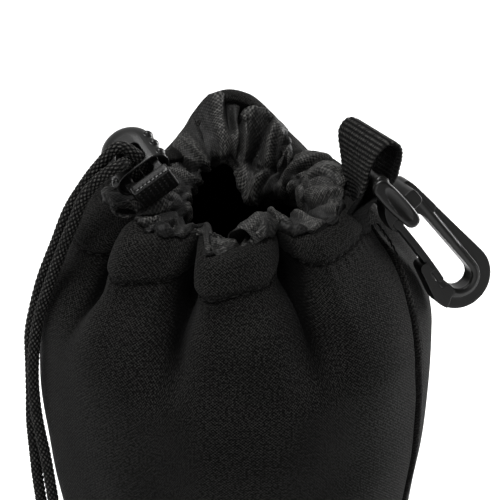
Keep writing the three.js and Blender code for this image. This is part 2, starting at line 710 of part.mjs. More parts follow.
// Slit in the sleeve where the webbing's ends are sewn in
const slitHalf = pairHalf + WEBBING / 2 + GAP;
const slitSide = WEBBING_WIDTH / 2 + GAP;
const slit = block(
  ROOT_AT - slitHalf, ROOT_AT + slitHalf, rootEnd - GAP, LOOP_ROOT + 9, -slitSide, slitSide);
const sleeve = cut(sleeveTube, placed(slit, BAR_CENTRE, hookFlat, hookRise, hookBar));

// Materials
const finish = (color, roughness, metalness = 0) =>
  new THREE.MeshStandardMaterial({ color, roughness, metalness });
const neoprene = finish(0x17181a, 0.95);
const plush = finish(0x222326, 1);
const nylon = finish(0x121315, 0.7);
const cordWeave = finish(0x141416, 0.85);
const webbingWeave = finish(0x161618, 0.85);
const plastic = finish(0x1b1c1e, 0.45);
const steel = finish(0xa8aaad, 0.3, 1);

const pieces = [
  ['sleeve', sleeve, neoprene],
  ['base_panel', basePanel, neoprene],
  ['base_binding', baseBinding, nylon],
  ['lining_sleeve', liningSleeve, plush],
  ['lining_base', liningBase, plush],
  ['casing', casing, nylon],
  ['drawcord_loop', drawcordLoop, cordWeave],
  ['drawcord_tail_front', tailFront, cordWeave],
  ['drawcord_tail_back', tailBack, cordWeave],
  ['tail_knot', tailKnot, cordWeave],
  ['lock_barrel', lockBarrel, plastic],
  ['lock_plunger', lockPlunger, plastic],
  ['lock_spring', lockSpring, steel],
  ['webbing_loop', webbingLoop, webbingWeave],
  ['hook_body', hookBody, plastic],
  ['hook_gate', hookGate, plastic],
];

const part = new THREE.Group();
part.name = 'lens_pouch';
for (const [name, geometry, material] of pieces) {
  const mesh = new THREE.Mesh(geometry, material);
  mesh.name = name;
  part.add(mesh);
}

export default part;
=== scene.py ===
import bmesh
import bpy
import numpy as np
from mathutils import Matrix, Vector


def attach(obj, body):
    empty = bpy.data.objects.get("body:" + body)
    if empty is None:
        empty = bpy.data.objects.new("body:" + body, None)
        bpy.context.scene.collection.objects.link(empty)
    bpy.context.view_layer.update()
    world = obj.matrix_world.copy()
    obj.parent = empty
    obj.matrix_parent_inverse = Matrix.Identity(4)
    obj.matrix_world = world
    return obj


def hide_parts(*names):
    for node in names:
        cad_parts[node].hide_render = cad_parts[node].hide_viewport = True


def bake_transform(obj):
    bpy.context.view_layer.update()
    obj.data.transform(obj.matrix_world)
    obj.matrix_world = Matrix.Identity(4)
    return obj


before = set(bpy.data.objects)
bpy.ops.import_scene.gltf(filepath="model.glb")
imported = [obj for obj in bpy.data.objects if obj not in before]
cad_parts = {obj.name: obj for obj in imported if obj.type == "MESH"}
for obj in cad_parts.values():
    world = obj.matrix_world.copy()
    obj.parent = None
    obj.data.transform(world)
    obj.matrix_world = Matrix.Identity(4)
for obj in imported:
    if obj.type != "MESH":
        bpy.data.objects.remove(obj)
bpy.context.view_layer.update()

# Every shape below is drawn in millimetres and scaled to metres as its mesh is made
MM = 0.001
TURN = 2 * np.pi

# Camera: what it looks at, the way from there to it, its distance, its focal length in pixels, its sensor
VIEW_TARGET = (4.5, 0, 138.2)
VIEW_BACK = (0, -0.848, 0.53)
VIEW_DISTANCE = 620
FOCAL_PIXELS = 2213
PICTURE_PIXELS = 500
SENSOR = 36.0

# Lights: name, place, aim and sides in metres, power in watts
LIGHTS = (
    ("key", (-0.2, -0.05, 1.05), (0, 0, 0.14), (0.5, 0.45), 11.5),
    ("fill", (0.0, -0.95, 0.45), (0, 0, 0.08), (0.8, 0.5), 2.2),
    ("low_right", (0.5, 0.26, 0.1), (0.04, 0, 0.03), (0.3, 0.3), 4.6),
    ("low_left", (-0.5, 0.1, 0.08), (-0.04, 0, 0.02), (0.3, 0.3), 0.4),
)

# Floor: half its side, and how far it glows where it is seen
FLOOR_HALF = 4000.0
FLOOR_GLOW = 0.35

# Share of red, green and blue in every tone
WARMTH = (1.02, 1.0, 0.95)

# Sleeve sizes, as in the solids
BASE_RADIUS = 48.5
BASE_TURN = 6.0
SHOULDER_RADIUS = 55.5
SHOULDER_HEIGHT = 118.0
MOUTH_RADIUS = 39.0
MOUTH_HEIGHT = 158.0
NEOPRENE = 3.2
PLUSH = 1.4
SEAM_LEVEL = 0.25
GAP = 0.3

# Base: rounding of its edge, half width and half height of the tape inside
BASE_EDGE = 1.1
TAPE_HALF = 2.0
TAPE_TALL = 1.3

# Degrees between the columns of the sleeve's points
SLEEVE_STEP = 0.5

# Folds of the gathered edge: angle from +X toward +Y, radius, rise of the edge
FOLDS = np.array([
    (2, 29, 0), (14, 31.6, 0.2), (26, 29.8, 1.2), (38, 27.8, 1), (46, 27.6, 0), (60, 30.5, 2.6), (72, 34, 6),
    (84, 36.8, 9.4), (92, 37.2, 10.2), (100, 37, 9.2), (108, 34.8, 6), (117, 31.2, 2.4), (131, 28, -0.4),
    (148, 30, 0.5), (163, 35.5, 0.3), (178, 38.5, -0.5), (193, 38, -1.4), (205, 35, -1.4), (212, 32.5, -0.8),
    (219, 37, 0), (226, 39.5, -1), (233, 36, -0.5), (241, 31.5, 0), (247, 30.5, 0), (252.5, 29.5, 0),
    (256.5, 38, -0.5), (262.5, 41, -1), (271, 38, -0.5), (282, 35, 0), (292, 28.5, 0), (296, 26.5, 0),
    (300, 32, -0.6), (311, 35.5, -1), (324, 35.5, -0.6), (345, 32.5, 0.2),
], float)

# Tucks between the folds: angle, depth at the edge, half width in degrees, level where they fade out
TUCKS = (
    (2, 3.0, 4.0, 0.3), (44, 1.5, 4.0, 0.3), (133, 2.0, 4.0, 0.3), (212, 6.0, 4.0, 0.15),
    (250.5, 7.0, 4.6, 0.0), (297, 7.0, 4.8, 0.0),
)

# Slits where a fold closes on itself under the hem: angle, depth, half width; their level and half length
SLITS = ((212, 5.0, 1.7), (250.5, 7.5, 1.7), (297.5, 6.5, 1.8))
SLIT_AT = 0.72
SLIT_LONG = 0.26

# How late the folds set in on the way up to the edge
GATHER = 1.45

# Slow swells of the foam, and its bulge behind the hook: height, size, place and spread
SWELL = 0.35
SWELL_SIZE = 16
BULGE = 1.0
BULGE_AT = 100
BULGE_TALL = 42
BULGE_WIDE = 40

# Turned hem: how far its stitch line lies below the edge at some angles, and its stitches
HEM_DEPTHS = np.array([
    (0, 6.5), (60, 9), (200, 9), (226, 8.6), (245, 8), (263, 6.6), (285, 6.2), (300, 4.4), (325, 3.8),
    (345, 5),
], float)
HEM_RAISE = 1.0
HEM_GROOVE = 0.9
HEM_LAP = 2.2
STITCH_PITCH = 3.4
STITCH_LENGTH = 2.5
STITCH_SUNK = (1.3, 0.9, 0.7, 0.7, 0.9, 1.3)
THREAD = 0.42

# Side seam: its angle by height, its ridge between two grooves, and its ladder of thread
SEAM_HEIGHTS = np.array((-10.0, 70.0, 100.0, 120.0, 133.0, 140.5, 146.0, 152.0, 190.0))
SEAM_ANGLES = np.array((-22.0, -22.0, -21.5, -23.8, -21.0, -16.5, -10.5, -7.0, -6.0))
SEAM_HALF = 1.8
SEAM_RIDGE = 0.6
SEAM_GROOVE = 0.9
SEAM_PITCH = 1.15
SEAM_THREAD = 0.6
SEAM_FROM = 4.0
SEAM_TO = 150.0

# Nylon casing: the angles where its strip starts and ends, its columns and rows of points, its thickness
CASING_FROM = 193.0
CASING_TO = 554.0
CASING_STEP = 0.6
CASING_ROWS = 84
NYLON = 0.3

# Spread nylon: millimetres to a degree round the mouth, and from its sewn edge to its hanging end
ROUND_MM = 0.42
DEEP_MM = 32.0

# Bed of the nylon by angle: outer fold's radius and rise, rim's radius and height, hang inside
BED = np.array([
    (0, 29.3, -0.6, 19, 0, 8), (12, 30, -1.6, 18.5, -1, 9), (22, 30, -2, 18.5, -2, 9),
    (34, 26, -1.5, 18.5, -3, 9), (44, 23.6, -1.2, 18, -5, 8), (52, 25.5, 0.3, 17.5, -7, 8),
    (60, 27.4, 1, 17, -8, 7), (67, 29.2, 0.8, 17, -8.5, 7), (78, 30.6, -2, 17.5, -7, 6),
    (86, 31, -3.6, 20, -2.5, 5), (93, 32.5, -2.8, 20, 0, 5), (101, 32.8, -0.6, 19.8, 0.5, 5),
    (108, 32.4, 0.2, 19, 0.5, 5), (123, 28.2, -1.9, 17, -1.2, 5), (140, 27, -2.8, 14.5, -2.6, 6),
    (165, 31, -2.2, 13.5, -2.5, 6), (187, 35, -0.2, 13.5, -1.5, 6), (201, 36, 0.4, 14.5, -1, 6),
    (212, 34, 0.2, 15.5, 0.4, 7), (221, 33, 0, 17.5, 1.2, 7), (230, 32, -0.2, 21, 1.5, 7),
    (238, 31.6, -0.2, 23, 0.5, 7), (248, 30.4, -0.2, 24, -1, 6), (254, 33.5, -0.2, 25.5, 0, 6),
    (259, 37, -0.2, 27, 1, 6), (265, 35.2, -0.3, 27, 1.2, 6), (272, 32.4, -0.5, 26.5, 1, 6),
    (281, 31.2, -0.4, 24.5, 0.5, 6), (290, 28, -0.2, 21, 0.6, 7), (296, 26.5, 0, 19.5, 1, 7),
    (303, 30.4, 0, 19.5, 1, 7), (314, 33, 0, 20.5, 1, 7), (322, 33.4, 0, 21.5, 0.8, 7),
    (330, 33, -0.4, 22, 0.2, 7), (342, 31.5, -0.7, 20.5, -0.3, 7), (351, 30, -0.6, 19.5, 0, 8),
], float)

# Puffs of the nylon: angle, place from sewn edge 0 to end 1, half width, half length, height, lean
PUFFS = (
    (358, 0.4, 7.4, 8.5, 3.8, 0), (20, 0.4, 4.4, 6.5, 2.4, 0), (341, 0.4, 4.4, 8.0, 2.8, 10),
    (330, 0.38, 3.2, 7.5, 2.0, -8), (311, 0.38, 6.8, 9.5, 1.4, 0), (287, 0.38, 4.4, 8.5, 2.8, 16),
    (265, 0.36, 6.0, 6.5, 1.0, 0), (254, 0.32, 3.0, 6.0, 1.0, 12), (243, 0.36, 4.0, 6.5, 1.5, -10),
    (229, 0.38, 5.0, 7.5, 2.4, 15), (216, 0.36, 4.4, 7.5, 2.2, -6), (202, 0.34, 7.4, 9.0, 4.0, 12),
    (187, 0.38, 3.6, 8.0, 2.2, 0), (178, 0.38, 3.8, 8.0, 1.8, -8), (164, 0.36, 4.4, 8.5, 1.4, 6),
    (149, 0.36, 4.6, 9.0, 1.0, -8), (133, 0.36, 5.0, 10.0, 0.9, 12), (109, 0.4, 9.4, 11.5, 3.0, 4),
    (90, 0.36, 1.7, 10.0, 3.0, 4), (81, 0.4, 4.0, 9.5, 3.6, 24), (65, 0.36, 7.0, 6.5, 3.8, -8),
    (51, 0.44, 2.6, 8.0, 2.4, 10), (43, 0.44, 2.4, 8.0, 2.2, -6), (32, 0.44, 4.6, 9.5, 3.0, 6),
    (66, 0.66, 9.0, 6.5, 4.6, 10), (80, 0.72, 3.6, 4.0, 2.8, 0), (46, 0.74, 5.5, 5.5, 2.6, 0),
    (20, 0.78, 6.0, 5.0, 1.8, 0), (355, 0.8, 6.0, 5.5, 1.6, 10), (330, 0.8, 6.5, 5.5, 1.6, 0),
    (305, 0.8, 5.5, 5.5, 1.6, -10), (283, 0.84, 5.5, 5.0, 1.4, 0), (262, 0.84, 6.0, 5.0, 1.2, 10),
    (240, 0.84, 5.5, 5.0, 1.2, 0), (220, 0.82, 5.0, 5.5, 1.6, 0), (200, 0.82, 4.5, 5.5, 1.8, 0),
    (178, 0.82, 5.0, 5.5, 1.8, 0), (156, 0.82, 5.0, 5.5, 1.8, 0), (134, 0.82, 5.5, 5.0, 1.8, 0),
    (112, 0.82, 6.0, 5.0, 1.4, 0), (92, 0.82, 4.5, 4.5, 1.4, 0),
)

# Sharp creases of the nylon: angle, place, half length, depth, lean; and their half width
CREASES = (
    (87.5, 0.4, 9.0, 2.6, 6), (95, 0.34, 6.0, 1.2, -4), (128, 0.38, 8.0, 1.8, 10),
    (74, 0.4, 8.0, 1.8, 18), (58, 0.38, 7.0, 1.6, -14), (66, 0.54, 8.0, 2.2, 84),
    (54, 0.46, 8.0, 1.6, 8), (47, 0.46, 8.0, 1.6, 0), (39, 0.44, 8.0, 1.8, -6), (26, 0.4, 8.0, 2.2, 8),
    (14, 0.38, 7.0, 2.2, -10), (352, 0.44, 6.0, 1.4, 24), (337, 0.42, 8.0, 2.2, -12),
    (325, 0.4, 8.0, 1.6, 10), (298, 0.4, 9.0, 2.0, -10), (272, 0.4, 7.0, 2.0, 8),
    (259, 0.36, 5.0, 1.4, -16), (249, 0.34, 6.0, 1.6, 6), (237, 0.38, 7.0, 2.0, -12),
    (222, 0.38, 8.0, 2.2, 10), (212, 0.36, 8.0, 1.8, -6), (184, 0.38, 8.0, 1.8, 0),
    (157, 0.38, 8.0, 1.8, 4), (141, 0.38, 8.0, 1.8, -6),
)
CREASE_HALF = 0.75

# Rolled fold at the front, from inside the mouth to its open end, and its radius
ROLL = ((10.2, -18.4, 158.2), (7.4, -22.6, 159.8), (4.6, -26.8, 160.3), (2.3, -30.4, 160.2))
ROLL_RADIUS = 3.7

# Drawcord
CORD = 3.2
STRANDS = 8
BRAID_PITCH = 1.9
BRAID_SUNK = 0.34
BRAID_DEPTH = 0.46

# Share of its faces that a moulding keeps, and how far each round softens it
KEPT_FACES = 0.4
SOFTENING = 0.5

# Cord lock
LOCK_CENTRE = np.array((-26.0, -8.0, MOUTH_HEIGHT + 12.1))
LOCK_WIDTH = 16.0
LOCK_BACK = 4.4
LOCK_THICK = 9.6
LOCK_WALL = 2.1
LOCK_SKIRT = 4.2
LOCK_EDGE = 4.0
SLAB_THICK = 5.0
CORD_HOLE = 7.0
PLUNGER_HEAD = 3.2
HEAD_ASIDE = 0.8
BARB = 1.6
PRESS = 3.2
FLARE_WALL = 0.8
FLARE_DEPTH = 1.4
GRIP = (1.35, 1.35, 1.9)
GRIP_PITCH = 3.6
GRIP_SHIFT = 0.8
TOOTH = 0.42
TOOTH_PITCH = 1.25
STUD = (0.42, 0.3, 0.3)
STUD_PITCH = 1.5
STUD_ROWS = 1.35

# Free tails of the drawcord, from the lock down to their knot
FRONT_ROUTE = [
    (-29.8, -16.4, 174.9), (-34.6, -16.9, 171.9), (-39.5, -17.3, 166.1), (-43, -17.5, 157.7),
    (-47, -17.5, 147.6), (-51, -17.5, 136.2), (-53.8, -17.3, 127), (-55.4, -17.3, 118.5),
    (-56.3, -18, 108.5), (-56.2, -18.6, 99), (-55.5, -19, 91), (-54.2, -19.6, 82),
    (-53.2, -20, 72.5), (-52.4, -20.2, 63), (-52.3, -19.9, 54), (-52.6, -19.3, 46),
]
BACK_ROUTE = [
    (-30.3, -12.4, 178.2), (-35.8, -13.5, 173.1), (-40.5, -13.9, 166.4), (-44.4, -13.9, 159.5),
    (-48.2, -14, 149.5), (-52.5, -14, 138), (-55.2, -13.9, 128), (-56.9, -13.8, 119.5),
    (-57.3, -13.7, 110), (-57.6, -13.8, 100), (-58, -14.3, 90), (-57.6, -15.4, 80),
    (-57.1, -16, 70), (-56.4, -16.3, 61), (-55.9, -16.7, 53), (-55.6, -16.9, 46),
]
KNOT = np.array((-54.1, -18.1, 41.0))
KNOT_TURNS = 2.6
KNOT_RADIUS = 2.75

# Webbing loop
WEBBING_WIDTH = 20.0
WEBBING = 1.6
WEBBING_LEAN = 11.0
WEBBING_TURN = 15.0
LOOP_TOP = 13.4
RIB_PITCH = 1.25
RIB_DEPTH = 0.26
RIB_SUNK = 0.24
YARN_PITCH = 0.75
LOOP_ROUTE = [
    (-3.15, -14.7), (-3.15, -9.5), (-3.2, -3), (-3.6, 1), (-3.1, 5.5), (-1.8, 9.8), (1.2, 12), (4, 10.4),
    (5.1, 6.5), (5, 3), (4.2, -1), (2.4, -4.2), (-1.25, -8.5), (-1.25, -14.7),
]

# Snap hook
BAR_CENTRE = np.array((MOUTH_RADIUS - 2.4, -4.2, MOUTH_HEIGHT + 7))
BAR_RADIUS = 2.2
ARM_WIDTH = 5.2
ARM_THICK = 2.4
HOOK_LENGTH = 50.0
HOOK_THICK = 6.4
BEND_RADIUS = 9.6
HOOK_STEM = 6.0
BRIDGE_FROM = 7.0
BRIDGE_DEPTH = 5.0
GATE_THICK = 1.9
GATE_WIDTH = 5.0
GATE_BEAD = 1.5
BAND_DEPTH = 1.3
BAND_RIM = 2.3
BAND_END = 62.0
HOOK_HANG = -55.5
ARM_START = 0.6
ARM_REACH = 1.2
ARM_DROP = 0.9
BEND_Y = 1.4
GATE_Y = -2.5
GATE_TIP_X = 37.6
GATE_TIP_Y = -3.3
NOTCH_FROM = 33.4
NOTCH_TO = 39.4
BEAD_RADIUS = 1.2


def mix(a, b, t):
    return a + (b - a) * t


def ramp(t):
    t = np.clip(t, 0, 1)
    return t * t * (3 - 2 * t)


def bell(x, width):
    return np.exp(-((x / width) ** 2))


def unit(v):
    return v / np.linalg.norm(v, axis=-1, keepdims=True)


def squared(way, axis):
    """A direction turned square to an axis."""
    return unit(way - axis * (way @ axis))


def lengths(line):
    """How far along a line each of its points lies."""
    return np.concatenate([[0], np.cumsum(np.linalg.norm(np.diff(line, axis=0), axis=1))])


def off_axis(points):
    """How far points lie from the pouch's axis."""
    return np.hypot(points[..., 0], points[..., 1])


def ring_points(radius, turn, height):
    """Points round the third axis, with their turn in radians."""
    return np.stack(np.broadcast_arrays(radius * np.cos(turn), radius * np.sin(turn), height), -1)


def curve(t, span, first, first_slope, last, last_slope):
    """Points between two ends with given slopes, as t runs from 0 to 1 over a span."""
    return (
        (2 * t**3 - 3 * t**2 + 1) * first + (t**3 - 2 * t**2 + t) * span * first_slope
        + (3 * t**2 - 2 * t**3) * last + (t**3 - t**2) * span * last_slope
    )


def waves(points, size, seed):
    """Smooth noise from about -1 to 1 whose features are size millimetres across."""
    count = 20
    draw = np.random.default_rng(seed)
    ways = unit(draw.normal(size=(count, 3)))
    speeds = draw.uniform(0.6, 1.4, count) * TURN / (2 * size)
    phases = draw.uniform(0, TURN, count)
    value = np.zeros(points.shape[:-1])
    for way, speed, phase in zip(ways, speeds, phases):
        value += np.sin(points @ way * speed + phase)
    return value / np.sqrt(count)


# Meshes


def linked(name, points, faces):
    mesh = bpy.data.meshes.new(name)
    mesh.from_pydata(np.asarray(points, float).tolist(), [], faces)
    piece = bpy.data.objects.new(name, mesh)
    bpy.context.collection.objects.link(piece)
    return piece


def new_piece(name, points, faces, material, uv=None):
    piece = linked(name, np.asarray(points) * MM, faces)
    mesh = piece.data
    if uv is not None:
        mesh.uv_layers.new(name="UVMap").data.foreach_set("uv", np.ravel(uv))
    mesh.polygons.foreach_set("use_smooth", np.ones(len(mesh.polygons), bool))
    mesh.materials.append(material)
    return piece


def facing_out(piece):
    edit = bmesh.new()
    edit.from_mesh(piece.data)
    bmesh.ops.recalc_face_normals(edit, faces=edit.faces)
    edit.to_mesh(piece.data)
    edit.free()
    return piece


def grid_quads(rows, cols, round_rows, round_cols):
    r = np.arange(rows if round_rows else rows - 1)
    c = np.arange(cols if round_cols else cols - 1)
    r0, c0 = np.meshgrid(r, c, indexing="ij")
    return r0, c0, r0 + 1, c0 + 1


def grid_faces(rows, cols, round_rows=False, round_cols=False):
    r0, c0, r1, c1 = grid_quads(rows, cols, round_rows, round_cols)
    r1, c1 = r1 % rows, c1 % cols
    corners = [r0 * cols + c0, r0 * cols + c1, r1 * cols + c1, r1 * cols + c0]
    return np.stack(corners, -1).reshape(-1, 4).tolist()


def tube_faces(rows, cols, start=0):
    """Faces of a tube of rings, closed at both ends, with its points numbered from start."""
    sides = np.array(grid_faces(rows, cols, round_cols=True)) + start
    end = start + np.arange(cols)
    return [*sides.tolist(), end[::-1].tolist(), (end + (rows - 1) * cols).tolist()]


def grid_piece(name, grid, material, round_rows=False, round_cols=False, caps=False, painted_light=None):
    """Piece from rows of points, with UVs in millimetres, and a colour factor of painted shade, 0 in its
    creases and 1 out of them.
    """
    rows, cols = grid.shape[:2]
    across = np.linalg.norm(np.roll(grid, -1, axis=1) - grid, axis=-1).mean(axis=0)
    along = np.linalg.norm(np.roll(grid, -1, axis=0) - grid, axis=-1).mean(axis=1)
    u = np.concatenate([[0], np.cumsum(across)])
    v = np.concatenate([[0], np.cumsum(along)])
    r0, c0, r1, c1 = grid_quads(rows, cols, round_rows, round_cols)
    corners = [(u[c0], v[r0]), (u[c1], v[r0]), (u[c1], v[r1]), (u[c0], v[r1])]
    uv = np.stack([np.stack(corner, -1) for corner in corners], 2).reshape(-1, 2)
    faces = tube_faces(rows, cols) if caps else grid_faces(rows, cols, round_rows, round_cols)
    if caps:
        uv = np.vstack([uv, np.zeros((2 * cols, 2))])
    piece = new_piece(name, grid.reshape(-1, 3), faces, material, uv)
    # Painted shade, kept on the points for the materials to multiply into the colour
    painted_light = np.ones((rows, cols)) if painted_light is None else painted_light
    piece.data.attributes.new("painted_light", "FLOAT", "POINT").data.foreach_set("value", np.ravel(painted_light))
    return facing_out(piece)


def through(points, step):
    """Smooth curve through some points, cut into even steps."""
    points = np.asarray(points, float)
    knots = np.concatenate([[0], np.cumsum(np.sqrt(np.linalg.norm(np.diff(points, axis=0), axis=1)))])
    slopes = np.gradient(points, knots, axis=0)
    dense = []
    for i in range(len(points) - 1):
        t = np.linspace(0, 1, 40, endpoint=False)[:, None]
        span = knots[i + 1] - knots[i]
        dense.append(curve(t, span, points[i], slopes[i], points[i + 1], slopes[i + 1]))
    return evenly(np.vstack([*dense, points[-1:]]), step)


def evenly(line, step):
    """A line cut into even steps."""
    length = lengths(line)
    count = max(2, int(round(length[-1] / step)) + 1)
    at = np.linspace(0, length[-1], count)
    return np.stack([np.interp(at, length, line[:, k]) for k in range(3)], -1)


def tube_grid(path, sides, radius):
    """Rings of points round a path; radius is a number or a function of length and angle."""
    tangents = unit(np.gradient(path, axis=0))
    side = np.cross(tangents[0], (0.31, 0.53, 0.79))
    normals = []
    for tangent in tangents:
        side = squared(side, tangent)
        normals.append(side)
    normals = np.array(normals)
    binormals = np.cross(tangents, normals)
    angle = np.arange(sides) * TURN / sides
    if callable(radius):
        reach = radius(lengths(path)[:, None], angle[None, :])
    else:
        reach = np.full((len(path), sides), radius)
    cosines, sines = np.cos(angle)[None, :, None], np.sin(angle)[None, :, None]
    return path[:, None] + reach[..., None] * (cosines * normals[:, None] + sines * binormals[:, None])


def threads(name, paths, radius, sides):
    """One piece made of many short round threads."""
    points = []
    faces = []
    for path in paths:
        taper = radius * np.array([0.35, *np.ones(len(path) - 2), 0.35])
        grid = tube_grid(np.asarray(path), sides, 1.0)
        grid = path[:, None] + (grid - path[:, None]) * taper[:, None, None]
        faces += tube_faces(len(path), sides, sum(len(p) for p in points))
        points.append(grid.reshape(-1, 3))
    return facing_out(new_piece(name, np.vstack(points), faces, THREAD_LOOK))


# Materials


def add(tree, kind, settings=None, **inputs):
    """New node with its settings, and its inputs by name or, after an underscore, by number."""
    made = tree.nodes.new(kind)
    for key, value in (settings or {}).items():
        setattr(made, key, value)
    for key, value in inputs.items():
        socket = made.inputs[int(key[1:])] if key[0] == "_" else made.inputs[key]
        if isinstance(value, bpy.types.NodeSocket):
            tree.links.new(value, socket)
        else:
            socket.default_value = value
    return made


def finish(name, tone, roughness, specular, sheen=0.0):
    """New material with its plain values set, its node tree and its shader."""
    material = bpy.data.materials.new(name)
    material.use_nodes = True
    shader = material.node_tree.nodes["Principled BSDF"]
    values = {
        "Base Color": (tone, tone, tone, 1), "Roughness": roughness, "Specular IOR Level": specular,
        "Sheen Weight": sheen, "Sheen Roughness": 0.5,
    }
    for socket, value in values.items():
        shader.inputs[socket].default_value = value
    return material, material.node_tree, shader


def maths(tree, operation, first, second=0.0, third=0.0):
    return add(tree, "ShaderNodeMath", {"operation": operation}, _0=first, _1=second, _2=third).outputs[0]


def speckle(tree, coordinate, scale, detail):
    made = add(tree, "ShaderNodeTexNoise", Vector=coordinate, Scale=scale, Detail=detail)
    return made.outputs["Fac"]


def vary(tree, shader, factor, dark, light):
    """Colour of the shader between two tones."""
    ends = [(*[tone * part for part in WARMTH], 1) for tone in (dark, light)]
    tones = add(tree, "ShaderNodeMix", {"data_type": "RGBA"}, _0=factor, _6=ends[0], _7=ends[1])
    tree.links.new(tones.outputs[2], shader.inputs["Base Color"])


def bump(tree, shader, height, distance, strength):
    made = add(tree, "ShaderNodeBump", Height=height, Distance=distance, Strength=strength)
    tree.links.new(made.outputs["Normal"], shader.inputs["Normal"])


def object_place(tree):
    return add(tree, "ShaderNodeTexCoord").outputs["Object"]


def uv_sides(tree):
    """The two UV coordinates, in millimetres, and the whole UV vector."""
    where = add(tree, "ShaderNodeTexCoord").outputs["UV"]
    parts = add(tree, "ShaderNodeSeparateXYZ", Vector=where)
    return parts.outputs["X"], parts.outputs["Y"], where


def weave(tree, u, v, warp, weft):
    """Height of a plain weave from 0 to 1, with threads warp and weft millimetres apart."""
    across = maths(tree, "SINE", maths(tree, "MULTIPLY", u, TURN / (2 * warp)))
    along = maths(tree, "SINE", maths(tree, "MULTIPLY", v, TURN / (2 * weft)))
    crossed = maths(tree, "MULTIPLY", across, along)
    return maths(tree, "MULTIPLY_ADD", crossed, 0.5, 0.5)


def contrast(tree, value, low, high):
    """Value stretched so that low to high becomes 0 to 1."""
    stretch = {"Value": value, "From Min": low, "From Max": high}
    return add(tree, "ShaderNodeMapRange", **stretch).outputs["Result"]


def painted_crease_shade(tree, low):
    """Painted shade from the piece's stored values: low in a crease, up to 1 out of it."""
    painted_light = add(tree, "ShaderNodeAttribute", {"attribute_name": "painted_light"}).outputs["Fac"]
    return maths(tree, "MULTIPLY_ADD", painted_light, 1 - low, low)


def knit_material(name, tone):
    material, tree, shader = finish(name, tone, 0.9, 0.05, 0.012)
    u, v, where = uv_sides(tree)
    grain = contrast(tree, speckle(tree, where, 1.5, 1.0), 0.4, 0.6)
    cloud = speckle(tree, where, 0.06, 2.0)
    loops = contrast(tree, weave(tree, u, v, 0.43, 0.46), 0.25, 0.75)
    thread = maths(tree, "MULTIPLY", maths(tree, "ADD", loops, 0.12), maths(tree, "ADD", grain, 0.2))
    tint = maths(tree, "MULTIPLY", thread, maths(tree, "ADD", cloud, 0.4))
    # Painted shade: the knit's colour falls to 6 % of itself in the sleeve's creases
    tint = maths(tree, "MULTIPLY", tint, painted_crease_shade(tree, 0.06))
    vary(tree, shader, tint, 0.0, tone * 3.7)
    bump(tree, shader, thread, 0.0002, 0.5)
    return material


def nylon_material(name, tone):
    material, tree, shader = finish(name, tone, 0.55, 0.16, 0.02)
    u, v, where = uv_sides(tree)
    cloth = contrast(tree, weave(tree, u, v, 0.48, 0.45), 0.38, 0.62)
    grain = contrast(tree, speckle(tree, where, 1.1, 1.0), 0.38, 0.62)
    yarn = maths(tree, "MULTIPLY_ADD", cloth, 0.95, 0.05)
    tint = maths(tree, "MULTIPLY", yarn, maths(tree, "ADD", grain, 0.25))
    # Painted shade: the nylon's colour falls to 8 % of itself in its creases and between its puffs
    tint = maths(tree, "MULTIPLY", tint, painted_crease_shade(tree, 0.08))
    vary(tree, shader, tint, 0.0, tone * 4.8)
    bump(tree, shader, cloth, 0.00012, 0.5)
    return material


def yarn_material(name, tone, woven=True):
    """Braid, webbing and thread: fine fibres, with shade painted between the yarns that the mesh carries."""
    material, tree, shader = finish(name, tone, 0.7, 0.08, 0.01)
    where = object_place(tree)
    fibres = contrast(tree, speckle(tree, where, 1500.0, 2.0), 0.35, 0.65)
    tint = maths(tree, "MULTIPLY_ADD", fibres, 0.7, 0.15)
    if woven:
        # Painted shade: black in the crevices between strands, up to 1.7 times the colour on their tops
        top = maths(tree, "POWER", painted_crease_shade(tree, 0.0), 2.2)
        tint = maths(tree, "MULTIPLY", tint, maths(tree, "MULTIPLY", top, 1.7))
    vary(tree, shader, tint, 0.0, tone * 3.0)
    bump(tree, shader, fibres, 0.0002, 0.6)
    return material


def plastic_material(name, tone):
    """Moulded plastic with a fine spark-eroded grain."""
    material, tree, shader = finish(name, tone, 0.36, 0.34)
    where = object_place(tree)
    grain = speckle(tree, where, 2200.0, 3.0)
    cloud = speckle(tree, where, 130.0, 2.0)
    vary(tree, shader, cloud, tone * 0.85, tone * 1.15)
    tree.links.new(maths(tree, "MULTIPLY_ADD", cloud, 0.16, 0.28), shader.inputs["Roughness"])
    bump(tree, shader, grain, 0.00004, 0.5)
    return material


def plush_material(name, tone):
    material, tree, shader = finish(name, tone, 1.0, 0.01)
    where = object_place(tree)
    nap = speckle(tree, where, 900.0, 4.0)
    vary(tree, shader, nap, tone * 0.4, tone * 1.6)
    bump(tree, shader, nap, 0.0006, 0.9)
    return material


def steel_material(name):
    material, tree, shader = finish(name, 0.42, 0.3, 0.5)
    shader.inputs["Metallic"].default_value = 1.0
    where = object_place(tree)
    drawn = speckle(tree, where, 3000.0, 2.0)
    vary(tree, shader, drawn, 0.34, 0.5)
    return material


NEOPRENE_LOOK = knit_material("neoprene_knit", 0.0057)
NYLON_LOOK = nylon_material("nylon_weave", 0.0155)
CORD_LOOK = yarn_material("cord_braid", 0.026)
WEBBING_LOOK = yarn_material("webbing_yarn", 0.017)
THREAD_LOOK = yarn_material("sewing_thread", 0.008, False)
PLASTIC_LOOK = plastic_material("moulded_plastic", 0.0036)
PLUSH_LOOK = plush_material("plush_nap", 0.0012)
STEEL_LOOK = steel_material("spring_steel")


# Sleeve


def eased(x, xs, ys):
    """Curve through a table of points that never swings past them."""
    slopes = np.diff(ys) / np.diff(xs)
    both = slopes[:-1] * slopes[1:]
    steady = np.where(both > 0, 2 * both / np.where(both > 0, slopes[:-1] + slopes[1:], 1), 0)
    steep = np.concatenate([[0], steady, [0]])
    i = np.clip(np.searchsorted(xs, x, side="right") - 1, 0, len(xs) - 2)
    span = xs[i + 1] - xs[i]
    t = (x - xs[i]) / span
    return curve(t, span, ys[i], steep[i], ys[i + 1], steep[i + 1])


